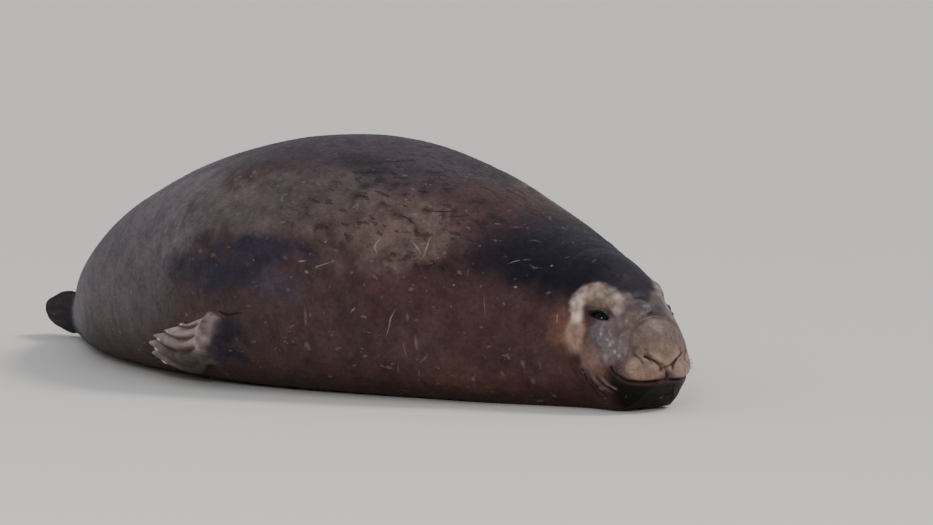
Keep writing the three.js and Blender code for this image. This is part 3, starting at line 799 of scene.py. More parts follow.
@dataclass
class HindFlipper(Flipper):
    """A hind flipper: a webbed blade on edge behind the tail, drawn in to a rounded tip."""

    rows: int = 42
    columns: int = 48
    root_x: float = -1585.0
    tip_x: float = -1930.0
    root_off: float = 62.0
    tip_off: float = 42.0
    root_z: float = 119.0
    tip_z: float = 104.0
    root_half: float = 95.0
    tip_half: float = 62.0
    rounding: float = 110.0
    lean: float = 0.22
    root_thickness: float = 62.0
    tip_thickness: float = 17.0

    def build(self, skin: SkinForm) -> Piece:
        """Builds the blade.

        Its tip is a round arc over the rounding, its height shrinks to the tip's, and its thickness
        tapers with a ridge along each digit and ripples across the web.

        Args:
            skin: The skin it grows from.

        Returns:
            The closed object, ready to be joined to the skin.
        """
        u, v = self.shares(0)
        across = 2 * v - 1
        short = self.rounding * (1 - np.sqrt(1 - 0.97 * across**2)) * u**2
        x = self.root_x + (self.tip_x - self.root_x) * u + short
        half = self.root_half + (self.tip_half - self.root_half) * smooth(u, 0.3, 1.25)
        body = self.root_thickness + (self.tip_thickness - self.root_thickness) * u**0.6
        digits = 2 * (0.5 + 0.5 * self.digit_wave(v)) ** 0.6 - 1
        ridge = 1 + 0.34 * digits * smooth(u, 0.1, 0.5) * smooth(u, 1.1, 0.8)
        thick = body * ridge * (1 - 0.55 * np.abs(across) ** 3) + 0.8 * np.sin(TAU * u * 17) * u
        middle = self.root_off + (self.tip_off - self.root_off) * u + across * half * math.sin(self.lean)
        z = self.root_z + (self.tip_z - self.root_z) * u + across * half * math.cos(self.lean)
        mid = skin.body.midline(x)
        grids = [np.stack([x, mid + self.side.value * (middle + s * thick / 2), z], axis=-1) for s in (-1, 1)]
        return mesh_piece(f"hind_flipper_form_{self.side.label}", *closed_sheet(*grids))


@dataclass(frozen=True)
class Tint:
    """A patch of colour on the hide: where it is, how far it reaches, its colour and its strength."""

    centre: Triple
    reach: Triple
    colour: Triple
    strength: float


@dataclass
class Markings:
    """The colours of hide and coat, painted shade and sheen among them, worked out from places on the body
    alone.
    """

    form: SkinForm = field(default_factory=SkinForm)
    # painted sheen: the rump's pale blue-grey stands for sky light reflected on it
    rear: Triple = (0.120, 0.120, 0.152)
    loin: Triple = (0.090, 0.072, 0.080)
    flank: Triple = (0.052, 0.029, 0.029)
    back: Triple = (0.044, 0.030, 0.040)
    shoulder: Triple = (0.054, 0.025, 0.025)
    # painted shade: the darker brown of the underside near the floor, where shade falls under the body and
    # jaw
    under: Triple = (0.040, 0.018, 0.013)
    # near-black of the nape and hood: partly the hide's own dark, partly painted shade on the neck and
    # forehead
    nape: Triple = (0.007, 0.004, 0.011)
    # painted shade: the chin and throat under the lips, coloured near-black where shade falls under the jaw
    chin_shade: Triple = (0.0035, 0.0015, 0.0014)
    # painted shade in the creases, nostrils, lip line, folds and the eyes' pockets, over their own darker
    # skin
    seam: Triple = (0.006, 0.004, 0.004)

    # centres are (x, distance from the midline, z)
    patches: tuple[Tint, ...] = (
        Tint((-600, 480, 640), (820, 480, 300), (0.092, 0.073, 0.080), 0.85),
        Tint((-60, 600, 650), (470, 330, 190), (0.112, 0.090, 0.096), 0.9),
        Tint((430, 600, 690), (320, 260, 140), (0.100, 0.079, 0.078), 0.88),
        Tint((-1150, 380, 330), (380, 200, 200), (0.110, 0.090, 0.092), 0.7),
        Tint((1000, 470, 650), (330, 230, 190), (0.104, 0.072, 0.062), 0.95),
        Tint((700, 560, 770), (300, 260, 130), (0.082, 0.062, 0.060), 0.8),
        Tint((370, 790, 452), (270, 160, 74), (0.021, 0.017, 0.031), 1.0),
        Tint((600, 735, 535), (250, 160, 62), (0.023, 0.018, 0.033), 0.95),
        Tint((690, 730, 420), (120, 120, 70), (0.046, 0.038, 0.054), 0.6),
        Tint((700, 290, 880), (150, 120, 60), (0.024, 0.016, 0.019), 0.85),
        Tint((880, 190, 830), (170, 90, 60), (0.026, 0.017, 0.022), 0.8),
        Tint((455, 800, 190), (92, 160, 108), (0.019, 0.014, 0.024), 1.0),
        Tint((1380, 400, 110), (190, 160, 70), (0.070, 0.036, 0.030), 0.7),
        Tint((1220, 520, 230), (150, 120, 110), (0.060, 0.036, 0.034), 0.6),
        Tint((1650, 250, 190), (90, 110, 90), (0.066, 0.036, 0.033), 0.8),
        Tint((1722, 240, 300), (48, 70, 90), (0.118, 0.056, 0.040), 0.8),
        Tint((1782, 222, 276), (44, 70, 66), (0.300, 0.190, 0.145), 0.9),
        Tint((1858, 208, 205), (54, 70, 54), (0.200, 0.122, 0.096), 0.85),
        Tint((1900, 200, 140), (60, 70, 42), (0.135, 0.078, 0.062), 0.7),
        Tint((1842, 160, 398), (58, 62, 34), (0.150, 0.108, 0.080), 1.0),
        # partly painted sheen: the grey of the wet skin under the eye
        Tint((1900, 190, 290), (56, 80, 56), (0.108, 0.088, 0.094), 0.95),
        Tint((1950, 178, 232), (56, 70, 56), (0.120, 0.096, 0.094), 0.9),
        Tint((1945, 120, 345), (44, 70, 44), (0.125, 0.092, 0.090), 0.85),
        Tint((2006, 60, 296), (74, 110, 74), (0.128, 0.088, 0.072), 1.0),
        Tint((2046, 40, 222), (50, 90, 44), (0.172, 0.116, 0.088), 1.0),
        Tint((2040, 90, 168), (62, 96, 50), (0.280, 0.186, 0.142), 0.95),
        Tint((1916, 60, 404), (44, 96, 38), (0.100, 0.074, 0.072), 0.85),
        Tint((1948, 40, 380), (30, 80, 22), (0.060, 0.042, 0.042), 0.5),
    )
    brow: Marks = ((1775, 216, 340), (1768, 206, 384), (1782, 180, 424), (1816, 146, 440), (1856, 116, 430),
                   (1890, 112, 406), (1908, 124, 380))
    brow_tone: Triple = (0.64, 0.495, 0.41)
    # places of the edge of the dark hood on the forehead, partly painted shade: x, and distance from the
    # midline
    hood: Marks = ((1500, 330), (1620, 230), (1700, 160), (1780, 100), (1850, 62), (1896, 46), (1930, 24),
                   (1956, 0))
    # (x, height) of the parting of the lips
    lips: Marks = ((1925, 188), (1950, 168), (1976, 137), (2004, 121), (2040, 115), (2066, 120))
    head_from: float = 1500.0
    dark: Triple = (0.016, 0.010, 0.012)
    # places along each dark welt as (x, degrees up the flank), its width, and that of its raised strip
    welts: tuple[tuple[Marks, float, float], ...] = (
        (((700, 63), (735, 66), (775, 69)), 20, 13), (((670, 69), (700, 76), (730, 83)), 18, 11),
        (((640, 84), (700, 92)), 14, 0), (((850, 79), (890, 84)), 14, 11), (((812, 52), (830, 53)), 14, 12),
        (((915, 52), (927, 52)), 12, 0), (((990, 50), (1050, 50), (1110, 47)), 9, 6),
        (((1060, 57), (1120, 61), (1165, 66)), 11, 8), (((1150, 58), (1180, 62), (1210, 66)), 9, 7),
        (((1140, 73), (1165, 78)), 10, 8), (((1280, 31), (1305, 33)), 11, 9),
        (((1280, 68), (1312, 71)), 9, 0), (((960, 66), (1000, 69)), 11, 8), (((1010, 62), (1030, 63)), 10, 0),
        (((780, 58), (800, 60)), 12, 0), (((870, 64), (900, 67)), 12, 0), (((940, 74), (985, 77)), 10, 0),
    )
    far_shift: float = -170.0
    # painted highlights: pale spots where the wet skin shines, as (x, distance from the midline, z)
    glint_spots: Marks = ((1891, 191, 303), (1896, 192, 286), (1926, 188, 268), (1940, 182, 250),
                       (1956, 115, 336), (1962, 128, 322), (1966, 148, 288), (1970, 158, 262),
                       (1977, 168, 212), (1962, 176, 226), (1908, 196, 246), (1918, 197, 226),
                       (1990, 140, 150), (1976, 160, 158))
    # painted highlights: the pale colours of the wet spots and of the speckle of beads under the eye
    glint_tone: Triple = (0.30, 0.27, 0.27)
    bead_glint_tone: Triple = (0.24, 0.21, 0.21)
    fold_tone: Triple = (0.22, 0.15, 0.12)
    lid_tone: Triple = (0.045, 0.034, 0.034)
    grip: Triple = (0.290, 0.228, 0.206)
    # painted shade: dark lines along the gaps between the digits
    digit_gap_shade: Triple = (0.040, 0.028, 0.024)
    # painted shade: the lower part of the hand, darker where shade falls on it
    lower_hand_shade: Triple = (0.052, 0.042, 0.034)
    arm: Triple = (0.032, 0.023, 0.034)
    arm_top: Marks = ((100, 232), (212, 252), (378, 291), (566, 270))
    band: Triple = (0.360, 0.315, 0.300)
    hind: Triple = (0.007, 0.004, 0.004)

    @property
    def body(self) -> Bodyline:
        """Returns the smooth body the places are counted from."""
        return self.form.body

    def paint(self, p: Array) -> Array:
        """Colours the hide.

        The ground colours fade into each other along the body and up its flank, with painted shade low down
        and partly on the nape and a painted sheen on the rump; then each patch is mixed in by a bell of its
        own distance, with its edge broken by random values, and last the lines.

        Args:
            p: Points in millimetres.

        Returns:
            A linear colour for each point.
        """
        x, z, local = p[..., 0], p[..., 2], self.body.folded(p)
        drift = 320 * (speckle(p, 240, 31) - 0.5) + 120 * (speckle(p, 80, 32) - 0.5)
        fore, high = x + drift, self.body.height_share(p) + drift / 2500
        colour = laid(np.zeros(p.shape) + np.array(self.flank), (
            (self.loin, smooth(fore, 330, -260) * smooth(z + drift / 3, 120, 330)),
            # painted sheen: the rump turns pale blue-grey
            (self.rear, smooth(fore, -600, -1300)),
            (self.shoulder, smooth(fore, 900, 1300)),
            (self.back, smooth(high, 0.84, 0.98) * smooth(x, 1150, 700)),
            # partly painted shade: the top of the neck turns near-black
            (self.nape, smooth(high, 0.66, 0.86) * smooth(x, 1150, 1480)),
            # painted shade: darker towards the floor
            (self.under, 0.9 * smooth(z + drift / 5, 150, 10)),
        ))
        broken = 1 + 1.3 * (speckle(p, 62, 41) - 0.5) + 0.9 * (speckle(p, 22, 42) - 0.5)
        soft = 1 + 0.5 * (speckle(p, 24, 43) - 0.5)
        for tint in self.patches:
            edge, low, full = (soft, 0.12, 0.70) if tint.centre[0] >= self.head_from else (broken, 0.15, 0.75)
            weight = smooth(swelling(local, tint.centre, tint.reach) * edge, low, full)
            colour = laid(colour, [(tint.colour, weight * tint.strength)])
        colour = self.lines(p, local, self.welted(p, colour))
        mottle = 0.70 + 0.40 * speckle(p, 46, 51) + 0.36 * speckle(p, 15, 52)
        return colour * mottle[..., None]

    def worn(self, p: Array) -> Array:
        """Returns how much the hide is covered by small dark nicks: most on the upper shoulder."""
        x, high = p[..., 0], self.body.height_share(p) + 0.2 * (speckle(p, 120, 65) - 0.5)
        return smooth(high, 0.58, 0.76) * smooth(x, 480, 760) * smooth(x, 1480, 1150)

    def welted(self, p: Array, colour: Array) -> Array:
        """Lays the dark welts of the upper shoulder on both sides, with ragged edges from random values.

        Args:
            p: Points in millimetres.
            colour: The colours so far.

        Returns:
            The colours with the welts.
        """
        ragged = 0.55 + 0.9 * speckle(p, 16, 44)
        for marks, width, _ in self.welts:
            x, up = np.transpose(marks).astype(float)
            for side, shift in ((Side.RIGHT, 0.0), (Side.LEFT, self.far_shift)):
                line = self.body.point(x + shift, side.angle(np.radians(up)))
                weight = 0.85 * smooth(near_line(p, line, width) * ragged, 0.18, 0.6)
                colour = laid(colour, [(self.dark, weight)])
        return colour

    def on_skin(self, line: Marks) -> Array:
        """Moves a line of the smooth body onto the worked skin, along the direction out of it."""
        marks = np.asarray(line, float)
        x = np.minimum(marks[:, 0], self.body.nose_end - 1.5)
        angle = np.array([self.body.angle_at(Side.LEFT, at, z) for at, z in zip(x, marks[:, 2])])
        point, _ = self.form.with_normal(x, angle, lids=False)
        return point - np.stack([0 * x, self.body.midline(point[:, 0]), 0 * x], axis=1)

    def lines(self, p: Array, local: Array, colour: Array) -> Array:
        """Draws hood, brows, lids, lips and folds, with painted shade and painted highlights on the face.

        Args:
            p: Points in millimetres.
            local: The same points as (x, distance from the midline, z).
            colour: The colours so far.

        Returns:
            The colours with the marks of the face.
        """
        m, e, x, z = self.form.marks, self.form.eye, local[..., 0], local[..., 2]
        ragged = 0.7 + 0.6 * speckle(p, 19, 45)
        edge = np.interp(x, *np.transpose(self.hood)) - local[..., 1] + 30 * (speckle(p, 30, 46) - 0.5)
        on_top = smooth(z, 306, 352) * smooth(x, 1440, 1560) * smooth(x, 1962, 1944)
        brow = near_line(local, self.brow, 34) * (0.35 + 0.85 * speckle(p, 40, 47) + 0.6 * speckle(p, 13, 48))
        fade = 1 - 0.70 * smooth(x, 1790, 1845) + 0.20 * smooth(x, 1868, 1900)
        fade = fade * (0.6 + 0.7 * speckle(p, 30, 49))
        # painted highlights: pale spots and a speckle of beads where the wet skin shines
        glints = [np.linalg.norm(local - np.asarray(dot, float), axis=-1) for dot in self.glint_spots]
        bead_glints = swelling(local, (1930, 180, 262), (62, 70, 82)) * smooth(speckle(p, 10, 50), 0.66, 0.8)
        below = np.interp(x, *np.transpose(self.lips)) - z
        # painted shade along the creases: nostrils, philtrum, lips, snout crease, wrinkles and folds
        creases = [(self.on_skin(m.nostril), 8, 1.0), (np.add(m.philtrum, (-5, 0, 0)), 7, 0.85),
                   (self.on_skin(m.mouth), 11, 0.95), (self.on_skin(m.snout_crease), 9, 0.3),
                   *((line, 6, 0.7) for line in m.nostril_wrinkles),
                   *((self.on_skin(line), 7, 0.8) for line in m.cheek_folds)]
        colour = laid(colour, [
            (self.brow_tone, np.clip(smooth(brow, 0.22, 1.15) * fade, 0, 1)),
            # partly painted shade: the hood's near-black tongue over the forehead
            (self.nape, smooth(edge, -10, 16) * on_top),
            *((self.glint_tone, 0.6 * smooth(spot * ragged, 9, 3.5)) for spot in glints),
            (self.bead_glint_tone, 0.45 * bead_glints),
            # painted shade: the lower head darkens towards the floor
            (self.under, 0.75 * smooth(z, 110, 40) * smooth(x, 1700, 1900)),
            # painted shade: the chin below the parting of the lips turns near-black
            (self.chin_shade, smooth(below, 0, 22) * smooth(x, 1905, 1960)),
            *((self.seam, strength * near_line(local, line, width)) for line, width, strength in creases),
            *((self.fold_tone, 0.5 * near_line(local, np.add(line, (-11, 4, -3)), 4.5))
              for line in m.cheek_folds),
        ])
        # the eye's pocket is painted near-black: partly the lids' own dark, partly painted shade
        for side in Side:
            centre, *ways = self.form.eye_frame(side)
            a, b, c = ((p - centre) @ way for way in ways)
            ring = np.hypot((a + 4) / (e.half_length + 3), b / (e.height(b) + (b > 0)))
            close = (c > -30) & (np.hypot(a, b) < 90)
            opening, rim = smooth(ring, 1.24, 1.06), 0.6 * bell(ring - 1.75, 0.22) * smooth(b, -16, 4)
            colour = laid(colour, [(self.seam, close * opening), (self.lid_tone, close * rim)])
        return colour

    def flipper(self, p: Array, colour: Array) -> Array:
        """Colours what stands off the flank: a grey hand with painted shade, pale wrist, dark arm, dark hind
        blades.

        Args:
            p: Points in millimetres.
            colour: The colours of the hide there.

        Returns:
            The colours with those of the flippers.
        """
        x, z, local = p[..., 0], p[..., 2], self.body.folded(p)
        grain = (0.75 + 0.5 * speckle(p * (0.4, 1, 1), 14, 61))[..., None]
        # painted shade: dark lines along the gaps between the digits
        grooves, along = [], np.linspace(0.16, 1.0, 6)
        for v in (0.125, 0.375, 0.625, 0.875):
            line = ForeFlipper().outline(along, np.full(len(along), v))
            flat = np.stack([line[:, 0], 0 * along, line[:, 1]], axis=1)
            grooves.append((self.digit_gap_shade, 0.8 * near_line(p * (1, 0, 1), flat, 7 + 4 * v)))
        ahead = x + 0.35 * (240 - z) + 60 * (speckle(p, 38, 63) - 0.5)
        hand = laid(np.array(self.grip) * (0.72 + 0.56 * speckle(p, 34, 62))[..., None], [
            *grooves,
            # painted shade: the lower part of the hand darkens
            (self.lower_hand_shade, 0.88 * smooth(z, 200, 110) * smooth(x, -10, 110)),
            (self.band, 0.85 * bell(x + 0.25 * (240 - z) - 352, 15) * smooth(z, 130, 180)),
            (self.arm, smooth(ahead, 356, 436)),
        ])
        off = local[..., 1] - self.body.flank(np.clip(x, -1600, 2000), np.maximum(z, 10))
        top = np.interp(x, *np.transpose(self.arm_top))
        fore = smooth(off, 1, 7) * smooth(x, -140, -110) * smooth(x, 470, 405) * smooth(top - z, -7, 5)
        behind = smooth(-x + 90 * (speckle(p, 60, 64) - 0.5), 1480, 1640)
        hind = np.maximum(behind, smooth(off, 0, 6) * smooth(x, -1480, -1600))
        return laid(colour, [(hand * grain, fore), (np.array(self.hind) * grain, hind)])


class Wire:
    """A shader socket that takes part in Python arithmetic."""

    def __init__(self, shader: "Shader", socket: Socket) -> None:
        """Keeps the shader that the socket belongs to."""
        self.shader, self.socket = shader, socket

    def _maths(self, operation: str, first: Any, second: Any) -> "Wire":
        """Returns the wire of one Math node."""
        return self.shader.node("ShaderNodeMath", {"operation": operation}, {0: first, 1: second})

    def __add__(self, other: Any) -> "Wire":
        """Returns self + other."""
        return self._maths("ADD", self, other)

    __radd__ = __add__

    def __mul__(self, other: Any) -> "Wire":
        """Returns self * other."""
        return self._maths("MULTIPLY", self, other)

    __rmul__ = __mul__

    def __sub__(self, other: Any) -> "Wire":
        """Returns self - other."""
        return self._maths("SUBTRACT", self, other)

    def __rsub__(self, other: Any) -> "Wire":
        """Returns other - self."""
        return self._maths("SUBTRACT", other, self)

    def step(self, low: float, high: float) -> "Wire":
        """Returns an eased step from 0 at low to 1 at high."""
        return self.shader.node("ShaderNodeMapRange", {"interpolation_type": "SMOOTHSTEP"},
                                {"Value": self, "From Min": low, "From Max": high})


class Shader:
    """Builds one material around a Principled surface."""

    def __init__(self, name: str) -> None:
        """Starts an empty material.

        Args:
            name: The material's name.
        """
        self.material = bpy.data.materials.new(name)
        self.material.use_nodes = True
        self.tree = self.material.node_tree
        self.tree.nodes.clear()
        self.out = self.tree.nodes.new("ShaderNodeOutputMaterial")
        self.surface = self.tree.nodes.new("ShaderNodeBsdfPrincipled")
        self.tree.links.new(self.surface.outputs[0], self.out.inputs["Surface"])
        self.place = self.node("ShaderNodeTexCoord", {}, {}, "Object")

    def node(self, kind: str, settings: dict[str, Any], inputs: dict[Any, Any], output: Any = 0) -> Wire:
        """Adds a node.

        Args:
            kind: The node's type.
            settings: Attributes that are set first.
            inputs: Values or wires by socket name or number.
            output: The socket whose wire is wanted.

        Returns:
            The wire of that output.
        """
        made = self.tree.nodes.new(kind)
        for key, value in settings.items():
            setattr(made, key, value)
        for key, value in inputs.items():
            self.feed(made.inputs[key], value)
        return Wire(self, made.outputs[output])

    def feed(self, socket: Socket, value: Any) -> None:
        """Links a wire to a socket, or sets the socket's own value; a colour gets its alpha of 1."""
        if isinstance(value, Wire):
            self.tree.links.new(value.socket, socket)
        else:
            socket.default_value = (*value, 1.0) if socket.type == "RGBA" else value

    def noise(self, scale: float, detail: float = 3.0, roughness: float = 0.55,
              squeeze: Triple = (1.0, 1.0, 1.0)) -> Wire:
        """Returns noise of about 0 to 1.

        Args:
            scale: Cells a metre.
            detail: How many finer layers lie in it.
            roughness: How strong they are.
            squeeze: A factor on the cells a metre along each axis.

        Returns:
            The noise.
        """
        place = self.node("ShaderNodeMapping", {}, {"Vector": self.place, "Scale": squeeze})
        inputs = {"Vector": place, "Scale": scale, "Detail": detail, "Roughness": roughness}
        return self.node("ShaderNodeTexNoise", {}, inputs, "Fac")

    def blend(self, factor: Any, under: Any, over: Any, mode: str = "MIX") -> Wire:
        """Returns two colours mixed by a factor."""
        inputs = {0: factor, 6: under, 7: over}
        return self.node("ShaderNodeMix", {"data_type": "RGBA", "blend_type": mode}, inputs, 2)

    def tinted(self, factor: Wire, colour: Wire, tint: Triple) -> Wire:
        """Returns a colour mixed by a factor with itself times a tint."""
        return self.blend(factor, colour, self.blend(1.0, colour, tint, "MULTIPLY"))

    def attribute(self, name: str, output: str = "Color") -> Wire:
        """Returns a colour or number stored on the mesh."""
        return self.node("ShaderNodeAttribute", {"attribute_name": name}, {}, output)

    def bumped(self, *reliefs: tuple[Wire, float, float]) -> Wire:
        """Returns the normal of reliefs laid over each other, each with its depth in metres and strength."""
        under: dict[str, Wire] = {}
        for height, depth, strength in reliefs:
            inputs = {"Height": height, "Distance": depth, "Strength": strength, **under}
            under = {"Normal": self.node("ShaderNodeBump", {}, inputs)}
        return under["Normal"]

    def finish(self, **sockets: Any) -> Material:
        """Feeds the surface's sockets, named with _ for spaces, and returns the material."""
        for name, value in sockets.items():
            self.feed(self.surface.inputs[name.replace("_", " ")], value)
        return self.material


def hide_finish() -> Material:
    """Builds the hide: short damp hair lying back, mottled, with small nicks and a sheen where it is wet.

    Returns:
        The material, which reads the colours, wetness and wear stored on the mesh.
    """
    s = Shader("seal_hide")
    tone, wet, worn = s.attribute("tone"), s.attribute("wet", "Fac"), s.attribute("worn", "Fac")
    cloud, grain, blotch = s.noise(7.0, 5.0, 0.6), s.noise(60.0, 4.0, 0.65), s.noise(17.0, 4.0, 0.62)
    hair = s.noise(260.0, 3.0, 0.6, (0.16, 1.0, 1.0))
    flecks = s.noise(34.0, 2.0, 0.5, (0.7, 1.0, 1.0)).step(0.665, 0.72)
    pits = s.noise(95.0, 2.0, 0.5).step(0.62, 0.70)
    nicks = s.noise(27.0, 3.0, 0.55, (0.45, 1.0, 1.0)).step(0.57, 0.63) * worn
    colour = s.tinted(cloud.step(0.35, 0.65) * 0.5, tone, (1.55, 1.42, 1.38))
    colour = s.tinted(grain.step(0.40, 0.66) * 0.42, colour, (0.55, 0.52, 0.55))
    colour = s.tinted(blotch.step(0.47, 0.66) * 0.5, colour, (0.58, 0.55, 0.60))
    colour = s.tinted(nicks * 0.75, colour, (0.30, 0.25, 0.29))
    colour = s.blend(flecks * (1 - wet) * 0.30, colour, (0.27, 0.215, 0.19))
    colour = s.tinted(pits * 0.35, colour, (0.45, 0.42, 0.45))
    rough = 0.62 - wet * 0.26 + (grain - 0.5) * 0.28 + (hair - 0.5) * 0.12
    normal = s.bumped((cloud, 0.012, 0.35), (grain, 0.0035, 0.55), (hair, 0.0016, 0.75),
                      (flecks, 0.0012, 0.5), (1 - nicks, 0.003, 0.6))
    return s.finish(Base_Color=colour, Roughness=rough, Normal=normal, Coat_Weight=wet * 0.14,
                    Coat_Roughness=0.30, Specular_IOR_Level=0.15, Sheen_Weight=0.015, Sheen_Roughness=0.45)


def coat_finish() -> Material:
    """Returns the lying tufts' material: the hide's colours, mottled and matt."""
    s = Shader("seal_coat")
    grain = s.noise(60.0, 4.0, 0.65)
    colour = s.tinted(grain.step(0.40, 0.66) * 0.3, s.attribute("tone"), (0.6, 0.57, 0.6))
    return s.finish(Base_Color=colour, Roughness=0.62 + (grain - 0.5) * 0.2, Specular_IOR_Level=0.2)


def eye_finish() -> Material:
    """Returns the wet eye's material: a dark iris round a black pupil, by the stored distance to its pole."""
    s = Shader("seal_eye")
    ring, fibres = s.attribute("ring", "Fac"), s.noise(420.0, 4.0, 0.6)
    iris = s.blend(fibres.step(0.35, 0.65), (0.006, 0.004, 0.003), (0.014, 0.008, 0.005))
    colour = s.blend(ring.step(0.40, 0.46), (0.002, 0.002, 0.002), iris)
    colour = s.blend(ring.step(0.84, 0.95), colour, (0.012, 0.009, 0.008))
    return s.finish(Base_Color=colour, Roughness=0.05 + fibres * 0.03, Specular_IOR_Level=0.18)


def margin_finish() -> Material:
    """Returns the lid margins' material: near-black, bare and moist."""
    s = Shader("lid_margin")
    grain = s.noise(300.0)
    colour = s.blend(grain.step(0.4, 0.7), (0.003, 0.002, 0.002), (0.009, 0.006, 0.006))
    return s.finish(Specular_IOR_Level=0.2, Base_Color=colour, Roughness=0.44 + grain * 0.2,
                    Normal=s.bumped((grain, 0.0006, 0.5)))


def nail_finish() -> Material:
    """Returns the nails' material: pale worn horn with lengthwise streaks and a darker root."""
    s = Shader("seal_nail")
    streak = s.noise(420.0, 3.0, 0.6, (0.12, 1.0, 0.5))
    colour = s.blend(s.attribute("along", "Fac").step(0.0, 0.4), (0.16, 0.12, 0.10), (0.60, 0.54, 0.46))
    colour = s.tinted(streak.step(0.4, 0.7) * 0.5, colour, (0.6, 0.55, 0.5))
    return s.finish(Base_Color=colour, Roughness=0.36 + streak * 0.2, Normal=s.bumped((streak, 0.0005, 0.6)))


def whisker_finish() -> Material:
    """Returns the whiskers' material: stiff horn-brown bristle, paler to the tip."""
    s = Shader("seal_whisker")
    colour = s.blend(s.attribute("along", "Fac").step(0.1, 0.9), (0.035, 0.024, 0.018), (0.30, 0.24, 0.18))
    return s.finish(Base_Color=colour, Roughness=0.32 + s.noise(300.0) * 0.2)


def floor_finish() -> Material:
    """Returns the plain pale floor's material."""
    s = Shader("pale_floor")
    tone = s.blend(s.noise(3.0, 2.0) * 0.10, (0.80, 0.765, 0.72), (0.72, 0.685, 0.64))
    return s.finish(Base_Color=tone, Roughness=0.85)


